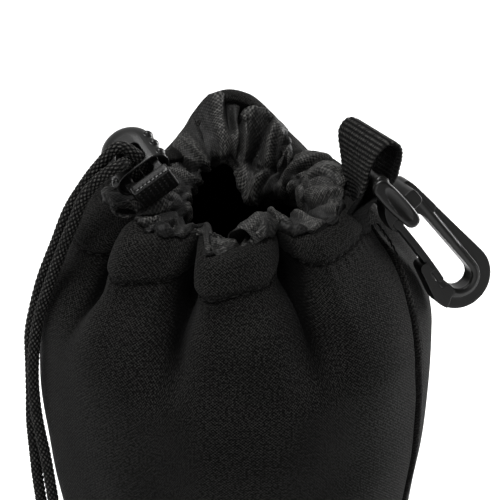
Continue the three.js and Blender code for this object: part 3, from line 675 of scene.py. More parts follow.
def by_angle(table, angle):
    """Each column of a table by angle, eased all the way round."""
    turn = np.zeros(table.shape[1])
    turn[0] = 360
    whole = np.vstack([table[-3:] - turn, table, table[:3] + turn])
    return [eased(np.mod(angle, 360.0), whole[:, 0], column) for column in whole.T[1:]]


def off_angle(angle, centre):
    """Degrees past a centre, the short way round."""
    return np.mod(angle - centre + 180, 360) - 180


def skin_point(angle, level):
    """Point on the sleeve's skin: level 0 to 1 is the base's turn, 1 to 2 the wall, 2 to 3 the shoulder."""
    angle, level = np.broadcast_arrays(np.asarray(angle, float), np.asarray(level, float))
    edge_radius, edge_rise = by_angle(FOLDS, angle)
    turn = (1 - np.clip(level, 0, 1)) * np.pi / 2
    base_radius = BASE_RADIUS - BASE_TURN * (1 - np.cos(turn))
    base_height = BASE_TURN * (1 - np.sin(turn))
    wall = np.clip(level - 1, 0, 1)
    wall_radius = mix(BASE_RADIUS, SHOULDER_RADIUS, ramp(wall * 1.12))
    wall_height = mix(BASE_TURN, SHOULDER_HEIGHT, wall)
    rise = np.clip(level - 2, 0, 1.2)
    gather = rise**GATHER
    top_radius = mix(SHOULDER_RADIUS, MOUTH_RADIUS, rise * rise) + (edge_radius - MOUTH_RADIUS) * gather
    open_edge = mix(1.0, 0.15, ramp((rise - 0.76) / 0.22))
    for centre, depth, width, fade in TUCKS:
        spread = bell(off_angle(angle, centre), width * mix(1.9, 1.0, rise))
        top_radius = top_radius - depth * open_edge * ramp((rise - fade) / 0.55) * spread
    for centre, depth, width in SLITS:
        close = bell(rise - SLIT_AT, SLIT_LONG) * bell(off_angle(angle, centre), width)
        top_radius = top_radius - depth * close
    top_height = mix(SHOULDER_HEIGHT, MOUTH_HEIGHT, rise) + edge_rise * gather
    radius = np.where(level < 1, base_radius, np.where(level < 2, wall_radius, top_radius))
    height = np.where(level < 1, base_height, np.where(level < 2, wall_height, top_height))
    return ring_points(radius, np.radians(angle), height)


def skin_axes(angle, level):
    """Outward normal and upward tangent of the skin."""
    angle, level = np.broadcast_arrays(np.asarray(angle, float), np.asarray(level, float))
    along = skin_point(angle, level + 0.01) - skin_point(angle, level - 0.01)
    across = skin_point(angle + 0.8, level) - skin_point(angle - 0.8, level)
    return unit(np.cross(across, along)), unit(along)


def skin(angle, level, inset):
    """Point under the sleeve's skin."""
    return skin_point(angle, level) - skin_axes(angle, level)[0] * inset


def seam_angle(height):
    return eased(height, SEAM_HEIGHTS, SEAM_ANGLES)


def swollen(points, angle):
    """Slow swells of the foam over its plain skin."""
    height = points[..., 2]
    soft = SWELL * waves(points, SWELL_SIZE, 3) * ramp((height - 20) / 40)
    return soft + BULGE * bell(off_angle(angle, 0), BULGE_WIDE) * bell(height - BULGE_AT, BULGE_TALL)


def widened(points, share):
    """Points moved out from the pouch's axis to a share of their distance."""
    return points * np.stack([share, share, np.ones_like(share)], -1)


def shrunk(grid, thick):
    """Inner face of a wall of rings: each ring moved in by a ball of the wall's thickness."""
    radius = off_axis(grid)
    inner = radius - thick
    for shift in range(-9, 10):
        beside = np.radians(shift * SLEEVE_STEP) * radius
        sag = np.sqrt(np.clip(thick**2 - beside**2, 0, None))
        near = np.where(np.abs(beside) < thick, np.roll(radius, shift, axis=1) - sag, np.inf)
        inner = np.minimum(inner, near)
    return widened(grid, inner / radius)


def painted_fold_shade(angle, level, below, off_seam):
    """Painted shade: 1 on the sleeve's open skin, and down to 0 in its hem line, seam lines, tucks and
    slits.
    """
    rise = np.clip(level - 2, 0, 1)
    crease = 0.45 * bell(below, 0.7) + 0.95 * bell(np.abs(off_seam) - SEAM_HALF, 0.7)
    for centre, _, width, fade in TUCKS:
        crease += 0.75 * ramp((rise - fade) / 0.5) * bell(off_angle(angle, centre), width * 0.8)
    for centre, _, width in SLITS:
        crease += bell(rise - 0.68, 0.3) * bell(off_angle(angle, centre), width * 1.5)
    return 1 - np.clip(crease, 0, 1)


def make_sleeve():
    angles = np.arange(0, 360, SLEEVE_STEP)
    levels = np.concatenate([
        np.linspace(SEAM_LEVEL, 1, 8),
        np.linspace(1, 2, 56)[1:],
        np.linspace(2, 2.6, 26)[1:],
        np.linspace(2.6, 3, 40)[1:],
    ])
    angle, level = np.meshgrid(angles, levels)
    plain = skin_point(angle, level)
    normal, up = skin_axes(angle, level)
    down = (3 - level) * (MOUTH_HEIGHT - SHOULDER_HEIGHT)
    below = down - np.interp(angle, HEM_DEPTHS[:, 0], HEM_DEPTHS[:, 1], period=360)
    line_row = np.argmin(np.abs(below), axis=0)
    line = plain[line_row, np.arange(len(angles))]
    beat = np.cos(TURN * lengths(line) / STITCH_PITCH)[None, :]
    hem = HEM_RAISE * ramp((0.6 - below) / 1.4)
    groove = HEM_GROOVE * bell(below, 0.6) * (0.8 + 0.2 * beat)
    pucker = 0.14 * bell(below - 2.0, 1.8) * beat - 1.3 * bell(below - 5, 6)
    off_seam = np.radians(off_angle(angle, seam_angle(plain[..., 2]))) * off_axis(plain)
    ridge = SEAM_RIDGE * ramp((plain[..., 2] - 1) / 5) * bell(off_seam, SEAM_HALF * 0.8)
    seam = ridge - SEAM_GROOVE * bell(np.abs(off_seam) - SEAM_HALF, 0.5)
    outer = plain + normal * (hem - groove + pucker + seam + swollen(plain, angle))[..., None]
    inner = shrunk(plain, NEOPRENE)
    inner = widened(inner, 1 - HEM_LAP * ramp((1 - below) / 4) / off_axis(inner))
    top_out, top_in = outer[-1], inner[-1]
    middle, half = (top_out + top_in) / 2, (top_out - top_in) / 2
    tall = (NEOPRENE + HEM_RAISE + HEM_LAP) * 0.36
    turns = np.linspace(0, np.pi, 13)[1:-1]
    crown = [middle + half * np.cos(t) + up[-1] * tall * np.sin(t) for t in turns]
    rings = np.vstack([outer, crown, inner[::-3]])
    # Painted shade for the sleeve's colour in its hem line, seam lines, tucks and slits; none on its crown
    # and inner face
    painted_light = painted_fold_shade(angle, level, below, off_seam)
    painted_light = np.vstack([painted_light, *[painted_light[-1:]] * len(crown), np.ones(inner[::-3].shape[:2])])
    piece = grid_piece("sleeve_neoprene", rings, NEOPRENE_LOOK, True, True, painted_light=painted_light)
    stitches = hem_stitches(line, normal[line_row, np.arange(len(angles))])
    return piece, stitches, inner[-1]


def hem_stitches(line, normal):
    """Row of thread stitches sunk in the hem's groove."""
    closed = np.vstack([line, line[:1]])
    normals = np.vstack([normal, normal[:1]])
    length = lengths(closed)
    paths = []
    for k in range(int(length[-1] / STITCH_PITCH)):
        at = (k + 0.5) * STITCH_PITCH + np.linspace(-0.5, 0.5, len(STITCH_SUNK)) * STITCH_LENGTH
        spot = np.stack([np.interp(at, length, closed[:, i]) for i in range(3)], -1)
        lift = np.stack([np.interp(at, length, normals[:, i]) for i in range(3)], -1)
        paths.append(spot - unit(lift) * np.array(STITCH_SUNK)[:, None])
    return threads("hem_stitches", paths, THREAD / 2, 6)


def seam_threads():
    """Ladder of overcast thread across the side seam."""
    paths = []
    for height in np.arange(SEAM_FROM, SEAM_TO, SEAM_PITCH):
        middle = seam_angle(height)
        radius = off_axis(skin_point(middle, level_at(middle, height)))
        spots = []
        for t in np.linspace(-1, 1, 5):
            level = level_at(middle, height + t * SEAM_PITCH * 0.42)
            angle = middle + np.degrees(t * SEAM_HALF * 0.75 / radius)
            lift = 0.65 - 0.4 * t * t + swollen(skin_point(angle, level)[None], angle)[0]
            spots.append(skin(angle, level, -lift))
        paths.append(np.array(spots))
    return threads("side_seam_thread", paths, SEAM_THREAD / 2, 5)


def level_at(angle, height):
    """Level of the skin at a height."""
    levels = np.linspace(0, 3, 241)
    return np.interp(height, skin_point(np.full(levels.shape, angle), levels)[:, 2], levels)


def make_lining():
    angles = np.arange(0, 360, 2.0)
    levels = np.linspace(1.02, 2.6, 46)
    angle, level = np.meshgrid(angles, levels)
    outside = NEOPRENE + 2 * GAP
    outer = skin(angle, level, outside)
    nap = 0.25 * waves(outer, 5, 8)[..., None] * unit(-outer * (1, 1, 0))
    inner = skin(angle, level, outside + PLUSH) + nap
    crown = skin(angles, 2.61, outside + PLUSH / 2)
    rings = np.vstack([outer, crown[None], inner[::-1]])
    return grid_piece("lining_plush", rings, PLUSH_LOOK, True, True)


def disc_piece(name, profile, material, count=96, ripple=0.0):
    """Turned piece from a profile of radius and height that starts and ends on the axis."""
    angle = np.arange(count) * TURN / count
    radius, height = np.array(profile, float).T
    grid = ring_points(radius[:, None], angle, height[:, None])
    grid[..., 2] += ripple * waves(grid, 7, 5) * (height[:, None] > height.min() + 0.1)
    return grid_piece(name, grid, material, round_cols=True, caps=True)


def make_base():
    edge = off_axis(skin(0.0, SEAM_LEVEL, NEOPRENE)) - GAP
    rounds = np.linspace(0, np.pi / 2, 6)
    flat = edge - BASE_EDGE
    under = [(flat + BASE_EDGE * np.sin(t), BASE_EDGE - BASE_EDGE * np.cos(t)) for t in rounds]
    inward = [(r, 0.0) for r in np.linspace(0.5, flat, 24)[:-1]]
    top = [(edge, NEOPRENE), *[(r, NEOPRENE) for r in np.linspace(edge - 0.5, 0.5, 20)]]
    panel = disc_piece("base_neoprene", [*inward, *under, *top], NEOPRENE_LOOK)
    lift = NEOPRENE + GAP
    outside = edge - 1
    tape_turn = np.linspace(0, TURN, 24, endpoint=False)
    across, up = np.cos(tape_turn), np.sin(tape_turn)
    angle = np.arange(180) * TURN / 180
    ring = outside - TAPE_HALF + TAPE_HALF * np.sign(across) * np.abs(across) ** 0.7
    rise = lift + TAPE_TALL + TAPE_TALL * np.sign(up) * np.abs(up) ** 0.6
    tape = ring_points(ring[:, None], angle, rise[:, None])
    tape[..., 2] += 0.12 * np.sin(angle * 70) * (rise[:, None] > lift + 1)
    binding = grid_piece("base_binding_tape", tape, NYLON_LOOK, True, True)
    inner_edge = outside - 2 * TAPE_HALF - GAP
    nap = [(0.4, lift), *[(r, lift) for r in np.linspace(2, inner_edge, 20)]]
    nap += [(inner_edge, lift + 0.7), *[(r, lift + PLUSH) for r in np.linspace(inner_edge - 0.5, 0.4, 30)]]
    lining = disc_piece("lining_base_plush", nap, PLUSH_LOOK, 120, 0.15)
    return panel, binding, lining


# Casing


def turned(angle, place, centre, at, lean):
    """Millimetres across and along a leaning line in the spread nylon."""
    u = off_angle(angle, centre) * ROUND_MM
    v = (place - at) * DEEP_MM
    turn = np.radians(lean)
    return u * np.cos(turn) - v * np.sin(turn), u * np.sin(turn) + v * np.cos(turn)


def puffed(angle, place):
    """Height of the gathered nylon over its bed, and painted shade for its colour: 0 between the puffs and
    in the creases, 1 on the puffs.
    """
    height = np.zeros(angle.shape)
    painted_light = np.zeros(angle.shape)
    for centre, at, wide, long, tall, lean in PUFFS:
        across, along = turned(angle, place, centre, at, lean)
        inside = np.clip(1 - (across / wide) ** 2 - (along / long) ** 2, 0, 1)
        height = np.maximum(height, tall * inside**0.6)
        painted_light = np.maximum(painted_light, inside)
    painted_light = np.clip(painted_light / 0.35, 0, 1)
    for centre, at, long, deep, lean in CREASES:
        across, along = turned(angle, place, centre, at, lean)
        dip = bell(across, CREASE_HALF) * ramp((long - np.abs(along)) / (0.5 * long))
        height = height - deep * dip
        painted_light = painted_light * (1 - 0.8 * dip)
    return height, painted_light


def casing_bed(edge):
    """Smooth bed of the nylon from the sleeve's inner edge to the rim, then down inside the mouth."""
    angle = np.arange(CASING_FROM, CASING_TO + 0.01, CASING_STEP)
    edge_angle = np.degrees(np.arctan2(edge[:, 1], edge[:, 0]))
    reach = np.interp(angle, edge_angle, off_axis(edge), period=360)
    high = np.interp(angle, edge_angle, edge[:, 2], period=360)
    outside, lift, rim, rim_high, hang = by_angle(BED, angle)
    crown = (NEOPRENE + HEM_RAISE + HEM_LAP) / 2
    outside = np.clip(outside, reach - 0.4, reach + 2 * crown - 0.4)
    rim = np.minimum(rim, outside - 4)
    rim_high = MOUTH_HEIGHT + rim_high
    stops = np.array([0.0, 0.1, 0.2, 0.38, 0.56, 0.66, 0.8, 1.0])

    def over_edge(radius):
        """Height of the sleeve's rounded edge above its inner corner."""
        past = np.clip(radius - reach, 0, None) - crown
        return 0.72 * crown * np.sqrt(np.clip(1 - (past / crown) ** 2, 0, 1))

    def sloped(share, clear):
        radius = mix(outside, rim, share)
        return radius, mix(high + lift, rim_high, share) + over_edge(radius) + clear

    profile = (
        (reach - 0.3, high - 3.5 + np.minimum(lift, 0)),
        sloped(0.1, 0.0),
        (outside, high + lift + over_edge(outside) + 0.4),
        sloped(0.35, 1.0),
        sloped(0.8, 0.7),
        (rim, rim_high - 0.5),
        (rim + 0.4, rim_high - 0.4 * hang),
        (rim + 1.6, rim_high - hang),
    )
    stations = np.array([ring_points(radius, np.radians(angle), height) for radius, height in profile])
    slopes = np.gradient(stations, stops, axis=0)
    rows = []
    for q in np.linspace(0, 1, CASING_ROWS):
        i = min(np.searchsorted(stops, q, side="right") - 1, len(stops) - 2)
        span = stops[i + 1] - stops[i]
        t = (q - stops[i]) / span
        rows.append(curve(t, span, stations[i], slopes[i], stations[i + 1], slopes[i + 1]))
    return np.array(rows), angle


def sheet_normal(grid):
    return unit(np.cross(np.gradient(grid, axis=1), np.gradient(grid, axis=0)))


def thickened(grid, thick):
    """Closed sheet of that thickness round a grid."""
    lower = grid - sheet_normal(grid) * thick
    return np.concatenate([grid, lower[::-1]], axis=0)


def make_casing(edge):
    bed, angle = casing_bed(edge)
    place = np.repeat(np.linspace(0, 1, CASING_ROWS)[:, None], len(angle), 1)
    flat = np.stack([0 * place + angle * ROUND_MM, place * DEEP_MM * 0.3, 0 * place], -1)
    lap = ramp((angle[None] - CASING_TO + 50) / 46)
    start = np.array((360 * ROUND_MM, 0, 0))

    def met(size, seed):
        """Noise that meets itself where the strip's ends lap."""
        return mix(waves(flat, size, seed), waves(flat - start, size, seed), lap)

    def creased(size, seed):
        return 1 - 2 * np.abs(met(size, seed))

    bent = met(7, 20)
    height, painted_light = puffed(angle[None] + 3.0 * bent, place + 0.02 * met(5, 24))
    flat[..., 0] += 1.2 * bent
    crumple = creased(6.0, 25)
    ridge = creased(3.0, 21)
    fade = ramp(place / 0.14)
    height = height + 0.7 * crumple + 0.5 * ridge + 0.12 * creased(1.7, 23)
    height = height - 0.5 * ramp((angle[None] - CASING_TO + 8) / 6)
    grid = bed + sheet_normal(bed) * (height * fade)[..., None]
    # Painted shade in the crumpled creases of the nylon, the same on its underside
    painted_light = painted_light * (0.15 + 0.85 * ramp((crumple + 0.8 * ridge + 1.2) / 2))
    painted_light = np.vstack([painted_light, painted_light[::-1]])
    piece = grid_piece("casing_nylon", thickened(grid, NYLON), NYLON_LOOK, round_rows=True, painted_light=painted_light)
    return piece, bed


def make_roll():
    """Fold of the nylon rolled into a tube, open at its outer end."""
    path = through(ROLL, 0.3)
    t = np.linspace(0, 1, len(path))[:, None]
    turn = np.linspace(0, TURN, 72, endpoint=False)[None, :]
    ring = ring_points(1.0, turn, 8 * t)
    flute = 0.3 * np.abs(waves(ring, 0.8, 31)) - 0.25 * np.cos(3 * turn + 2 * t)
    radius = ROLL_RADIUS * mix(0.8, 1.0, ramp(t * 2)) * (1 + 0.1 * np.cos(2 * turn - 0.6)) + flute
    spokes = unit(tube_grid(path, 72, 1.0) - path[:, None])
    outer = path[:, None] + spokes * radius[..., None]
    shell = np.concatenate([outer, (outer - spokes * 0.35)[::-1]], axis=0)
    # Painted shade: darker in the roll's flutes, and dark on its inside face
    painted_light = np.vstack([np.clip(0.4 + flute, 0, 1), np.full(flute.shape, 0.15)])
    return grid_piece("casing_roll_nylon", shell, NYLON_LOOK, True, True, painted_light=painted_light)


# Cords


def braid(length, angle):
    """Height of a braid from 0 to 1: two sets of strands that pass over and under each other."""
    across = angle / TURN * STRANDS
    left = across + length / BRAID_PITCH
    right = across - length / BRAID_PITCH
    a = np.clip(1 - ((2 * (left % 1) - 1) / 0.88) ** 2, 0, 1)
    b = np.clip(1 - ((2 * (right % 1) - 1) / 0.88) ** 2, 0, 1)
    on_top = (np.floor(left) + np.floor(right)) % 2 == 0
    return np.where(on_top, a**0.6 * (0.5 + 0.5 * b**0.5), b**0.6 * (0.5 + 0.5 * a**0.5))


def cord_radius(length, angle):
    return CORD / 2 - BRAID_SUNK + BRAID_DEPTH * braid(length, angle)


def cord_piece(name, path):
    sides = 40
    angle = np.arange(sides)[None, :] * TURN / sides
    # Painted shade between the braid's strands
    painted_light = np.clip(braid(lengths(path)[:, None], angle) * 1.8 - 0.8, 0, 1)
    rings = tube_grid(path, sides, cord_radius)
    return grid_piece(name, rings, CORD_LOOK, round_cols=True, caps=True, painted_light=painted_light)


LOCK_FACE = unit(np.array((-0.33, -0.45, 0.83)))
LOCK_PUSH = squared(np.array((0.476, -0.835, -0.261)), LOCK_FACE)
LOCK_SIDE = np.cross(LOCK_FACE, LOCK_PUSH)
CORD_PAIR = CORD + GAP / 2
CORD_AT = CORD_HOLE / 2 - GAP - CORD / 2


def strand(side, face):
    """Where one of the two strands passes through the lock."""
    return LOCK_CENTRE + LOCK_PUSH * CORD_AT + LOCK_SIDE * side * CORD_PAIR / 2 + LOCK_FACE * face


def tail_path(side, route):
    start = [strand(side, -LOCK_THICK / 2), strand(side, GAP / 2), strand(side, LOCK_THICK / 2 + 0.5)]
    return through([*start, *route], 0.3)


def make_tails():
    front_path = tail_path(-1, FRONT_ROUTE)
    back_path = tail_path(1, BACK_ROUTE)
    front = cord_piece("drawcord_tail_front_braid", front_path)
    back = cord_piece("drawcord_tail_back_braid", back_path)
    return (front, front_path), (back, back_path)


def knot_paths():
    """Two wraps of each strand round the pair, then the two cut ends."""
    wraps = []
    for side in (-1, 1):
        turn = np.linspace(0, KNOT_TURNS * TURN, 90)
        t = turn / turn[-1]
        radius = KNOT_RADIUS + 0.5 * np.sin(np.pi * t)
        height = mix(3.4, -3.0, t) + side * 0.9
        coil = ring_points(radius, turn + side * np.pi / 2, height) * (1, 0.95, 1)
        lead_in = (side * 1.45, 0.2 * side, 7.0)
        ends = [(side * 1.9, -0.3, -5.4), (side * 3.2, -0.8, -9), (side * 4.6, -1.2, -12.8)]
        wraps.append(KNOT + through([lead_in, *coil[6:-6:7], *ends], 0.3))
    return wraps


def make_knot():
    left, right = knot_paths()
    first = cord_piece("knot_strand_back", left)
    second = cord_piece("knot_strand_front", right)
    ends = []
    for path in (left, right):
        way = unit(path[-1] - path[-4])
        ends.append(path[-1] + way * np.array((-1.2, -0.4, 0.25, 0.5))[:, None])
    tips = threads("knot_sealed_tips", ends, CORD / 2 + 0.05, 20)
    return first, second, tips


def make_ring(rows):
    """Drawcord under the crest of the casing, with a lead from each end up into the lock."""
    at = int(0.47 * len(rows))
    under = rows[at] - sheet_normal(rows)[at] * (CORD * 0.5 + 1.6)
    under = under[10:-10:12]
    kernel = np.ones(3) / 3
    for k in range(3):
        under[1:-1, k] = np.convolve(under[:, k], kernel, "valid")
    points = []
    for side, end, inward in ((-1, under[0], under[1]), (1, under[-1], under[-2])):
        foot = strand(side, -LOCK_THICK / 2 - 4.5)
        middle = mix(end + unit(end - inward) * 2.5, foot, 0.45)
        points.append([strand(side, -LOCK_THICK / 2), foot, middle])
    path = through([*points[0], *under, *points[1][::-1]], 0.35)
    return cord_piece("drawcord_ring_braid", path)


# Moulded plastic


def solid(points, faces):
    """Working solid in its own millimetres."""
    return facing_out(linked("solid", points, faces))


def arc(x, y, radius, start, end, count):
    turn = np.radians(np.linspace(start, end, count))
    return np.stack([x + radius * np.cos(turn), y + radius * np.sin(turn)], -1)


def bow(start, middle, end, count=10):
    t = np.linspace(0, 1, count)[:, None]
    start, middle, end = map(np.array, (start, middle, end))
    return (1 - t) ** 2 * start + 2 * t * (1 - t) * middle + t * t * end


def outline(*parts):
    points = np.vstack([np.atleast_2d(np.asarray(part, float)) for part in parts])
    keep = [0]
    for i in range(1, len(points)):
        if np.linalg.norm(points[i] - points[keep[-1]]) > 0.02:
            keep.append(i)
    return points[keep]


def prism(shape, low, high):
    points = [(x, y, z) for z in (low, high) for x, y in shape]
    return solid(points, tube_faces(2, len(shape)))


def plate(shape, half):
    return prism(shape, -half, half)


def block(x0, x1, y0, y1, half):
    return plate([(x0, y0), (x1, y0), (x1, y1), (x0, y1)], half)


def rounded_box(centre_x, half_x, half_y, corner):
    turns = ((1, 1, 0), (-1, 1, 90), (-1, -1, 180), (1, -1, 270))
    corners = [
        arc(centre_x + sx * (half_x - corner), sy * (half_y - corner), corner, start, start + 90, 8)
        for sx, sy, start in turns
    ]
    return outline(*corners)


def round_ended(radius, straight, start):
    end = start + straight
    return outline((end, radius), arc(start, 0, radius, 90, 270, 40), (end, -radius))


def pillow(shape_at, thick, edge):
    """Slab with rounded edges: shape_at gives its outline when drawn in by a distance."""
    turns = np.linspace(0, np.pi / 2, 9)
    steps = [(edge * (1 - np.sin(t)), thick / 2 - edge * (1 - np.cos(t))) for t in turns]
    rings = [(inset, -height) for inset, height in steps] + steps[::-1]
    points = []
    for inset, height in rings:
        points += [(x, y, height) for x, y in shape_at(inset)]
    return solid(points, tube_faces(len(rings), len(shape_at(0.0))))


def tube_solid(path, sides, radius):
    return solid(tube_grid(path, sides, radius).reshape(-1, 3), tube_faces(len(path), sides))


def rod(radius, start, end, sides=28):
    return tube_solid(np.linspace(start, end, 2), sides, radius)


def pin(radius, x, y, half):
    """Round bar along the third axis."""
    return rod(radius, (x, y, -half), (x, y, half))


def ball(centre, scale, count):
    across = np.linspace(0.02, np.pi - 0.02, count)[:, None]
    around = np.linspace(0, TURN, 2 * count, endpoint=False)[None, :]
    grid = ring_points(np.sin(across), around, np.cos(across)) * scale + centre
    return solid(grid.reshape(-1, 3), tube_faces(count, 2 * count))


def settle(made):
    """Apply an object's modifiers."""
    graph = bpy.context.evaluated_depsgraph_get()
    mesh = bpy.data.meshes.new_from_object(made.evaluated_get(graph))
    made.modifiers.clear()
    old, made.data = made.data, mesh
    bpy.data.meshes.remove(old)


def combine(first, operation, *others):
    for other in others:
        change = first.modifiers.new("change", "BOOLEAN")
        change.operation = operation
        change.solver = "EXACT"
        change.object = other
    settle(first)
    for other in others:
        bpy.data.objects.remove(other)
    return first


def moulded(name, made, origin, axes, voxel, rounds):
    """Finished moulding: even voxels, softened edges, set in its frame and scaled to metres."""
    remesh = made.modifiers.new("voxels", "REMESH")
    remesh.mode = "VOXEL"
    remesh.voxel_size = voxel
    soften = made.modifiers.new("soften", "SMOOTH")
    soften.factor = SOFTENING
    soften.iterations = rounds
    thin = made.modifiers.new("thin", "DECIMATE")
    thin.ratio = KEPT_FACES
    settle(made)
    mesh = made.data
    own = np.zeros(len(mesh.vertices) * 3)
    mesh.vertices.foreach_get("co", own)
    placed = origin + own.reshape(-1, 3) @ np.array(axes)
    mesh.vertices.foreach_set("co", np.ravel(placed * MM))
    mesh.polygons.foreach_set("use_smooth", np.ones(len(mesh.polygons), bool))
    mesh.materials.clear()
    mesh.materials.append(PLASTIC_LOOK)
    mesh.name = made.name = name
    mesh.update()
    return made


# Cord lock

LOCK_RADIUS = LOCK_WIDTH / 2
CAVITY_RADIUS = LOCK_RADIUS - LOCK_WALL
SLAB_RADIUS = CAVITY_RADIUS - GAP
WINDOW_END = LOCK_SKIRT - 1.8
BARB_END = WINDOW_END - GAP
WINDOW_FROM = BARB_END - BARB - PRESS - GAP
LOCK_AXES = (LOCK_PUSH, LOCK_SIDE, LOCK_FACE)


def cord_hole(centre_x):
    return plate(rounded_box(centre_x, CORD_HOLE / 2, CORD_PAIR + GAP, 2), LOCK_THICK)


def lock_shape(radius, beyond):
    return round_ended(radius, LOCK_BACK + LOCK_SKIRT + beyond, -LOCK_BACK)


def flare_shape(inset):
    """Opening of the barrel's skirt, drawn in by a distance."""
    half = LOCK_RADIUS - FLARE_WALL - inset
    low, high = LOCK_SKIRT - FLARE_DEPTH, LOCK_SKIRT + 3
    return [(high, half), (low, half), (low, -half), (high, -half)]


def make_barrel():
    dome = pillow(
        lambda inset: lock_shape(LOCK_RADIUS - inset, LOCK_EDGE + 1), LOCK_THICK, LOCK_EDGE + 0.6,
    )
    grips = [
        ball((step * GRIP_PITCH - GRIP_SHIFT, side * (LOCK_RADIUS - 0.9), 2.0), GRIP, 14)
        for side in (-1, 1) for step in (-1, 0, 1)
    ]
    barrel = combine(dome, "UNION", *grips)
    cavity = plate(lock_shape(CAVITY_RADIUS, 1), SLAB_THICK / 2 + GAP)
    flare = pillow(flare_shape, LOCK_THICK - 2 * FLARE_WALL, LOCK_EDGE - 0.2)
    window = block(WINDOW_FROM, WINDOW_END, -LOCK_RADIUS - 2, LOCK_RADIUS + 2, 1.5)
    skirt = block(LOCK_SKIRT, 30, -15, 15, 15)
    combine(barrel, "DIFFERENCE", skirt, cavity, flare, cord_hole(0), window)
    return moulded("lock_barrel_moulding", barrel, LOCK_CENTRE, LOCK_AXES, voxel=0.17, rounds=5)


def make_plunger():
    head_from = LOCK_SKIRT + GAP + PRESS
    head_to = head_from + PLUNGER_HEAD
    centre = (head_from + head_to) / 2
    half = LOCK_RADIUS - 2.2
    thick = LOCK_THICK - 1
    slab_shape = round_ended(SLAB_RADIUS, LOCK_BACK + head_from - PRESS + 0.5, PRESS - LOCK_BACK)
    slab = plate(slab_shape, SLAB_THICK / 2)
    head = pillow(
        lambda inset: rounded_box(centre, PLUNGER_HEAD / 2 - inset, half - inset, 0.75), thick, 0.7,
    )
    head.data.transform(Matrix.Translation((0, HEAD_ASIDE, 0)))
    barbs = []
    for side in (-1, 1):
        foot, tip, step = (side * (SLAB_RADIUS + out) for out in (-1, 1.5, 0.2))
        back = BARB_END - BARB
        barbs.append(plate([(back, foot), (BARB_END, foot), (BARB_END, tip), (back, step)], 1.1))
    teeth = []
    for y in HEAD_ASIDE + np.arange(-half + 1.2, half - 0.6, TOOTH_PITCH):
        for face in (-1, 1):
            low, high = face * (thick / 2 - 1.4), face * (thick / 2 + 0.1)
            teeth.append(rod(TOOTH, (head_to - 0.55, y, low), (head_to - 0.55, y, high), 12))
    studs = [
        ball((head_to - 0.15, y, z), STUD, 8)
        for y in HEAD_ASIDE + np.arange(-half + 1.3, half - 0.7, STUD_PITCH)
        for z in np.arange(-2 * STUD_ROWS, 2.8, STUD_ROWS)
    ]
    plunger = combine(slab, "UNION", head, *barbs, *teeth, *studs)
    spring_from = PRESS - LOCK_BACK - SLAB_RADIUS
    pocket = rod(2.0, (spring_from - 2.0, 0, 0), (spring_from + 2.4, 0, 0))
    combine(plunger, "DIFFERENCE", cord_hole(PRESS), pocket)
    return moulded("lock_plunger_moulding", plunger, LOCK_CENTRE, LOCK_AXES, voxel=0.16, rounds=3)


# Webbing loop

HOOK_BAR = unit(np.array((0.289, -0.919, 0.266)))
HOOK_FLAT = squared(np.array((0.954, 0.3, 0.0)), HOOK_BAR)
HOOK_RISE = np.cross(HOOK_BAR, HOOK_FLAT)


def loop_point(x, y, across):
    """Point of the webbing: the loop's upper part leans, and its root is cupped where it is gathered in."""
    part = ramp((y - 1) / (LOOP_TOP - 1))
    lean, turn = np.radians(WEBBING_LEAN) * part, np.radians(WEBBING_TURN) * part
    cup = np.maximum(0.15 * ramp((2 - y) / 12), 1e-4)
    side = np.sin(cup * across) / cup
    flat = x - (1 - np.cos(cup * across)) / cup
    level = HOOK_BAR * np.cos(turn)[..., None] + HOOK_FLAT * np.sin(turn)[..., None]
    way = level * np.cos(lean)[..., None] - HOOK_RISE * np.sin(lean)[..., None]
    return BAR_CENTRE + HOOK_FLAT * flat[..., None] + HOOK_RISE * y[..., None] + way * side[..., None]


def make_webbing():
    route = through([(x, y, 0) for x, y in LOOP_ROUTE], 0.18)
    tangent = unit(np.gradient(route, axis=0))
    normal = np.stack([-tangent[:, 1], tangent[:, 0], 0 * tangent[:, 0]], -1)
    length = lengths(route)[:, None]
    half = WEBBING_WIDTH / 2
    steps = np.linspace(-1, 1, 49)
    section = [(t * half, 1.0) for t in steps] + [(t * half, -1.0) for t in steps[::-1]]
    across, face = np.array(section).T
    slim = np.clip((half - np.abs(across)) / 0.9, 0, 1)
    body = WEBBING / 2 * (0.25 + 0.75 * np.sqrt(1 - (1 - slim) ** 2))
    rib = np.abs(np.sin(np.pi * length / RIB_PITCH + face[None, :] * 0.25))
    dash = np.abs(np.sin(np.pi * across[None, :] / YARN_PITCH + np.floor(length / RIB_PITCH) * np.pi / 2))
    depth = rib**0.6 * (0.55 + 0.45 * dash**0.7)
    lift = (body[None, :] - RIB_SUNK + RIB_DEPTH * depth) * face[None, :]
    spot = route[:, None, :2] + normal[:, None, :2] * lift[..., None]
    grid = loop_point(spot[..., 0], spot[..., 1], np.broadcast_to(across, lift.shape))
    # Painted shade: between the ribs, on the loop's inner face, and more and more towards the gathered root
    painted_inner_and_root_shade = np.where(face > 0, 1.0, 0.3)[None, :] * mix(0.35, 1.0, ramp((spot[..., 1] + 9) / 9))
    painted_light = np.clip(depth * 1.9 - 0.9, 0, 1) * painted_inner_and_root_shade
    return grid_piece("webbing_weave", grid, WEBBING_LOOK, round_cols=True, caps=True, painted_light=painted_light)


# Snap hook

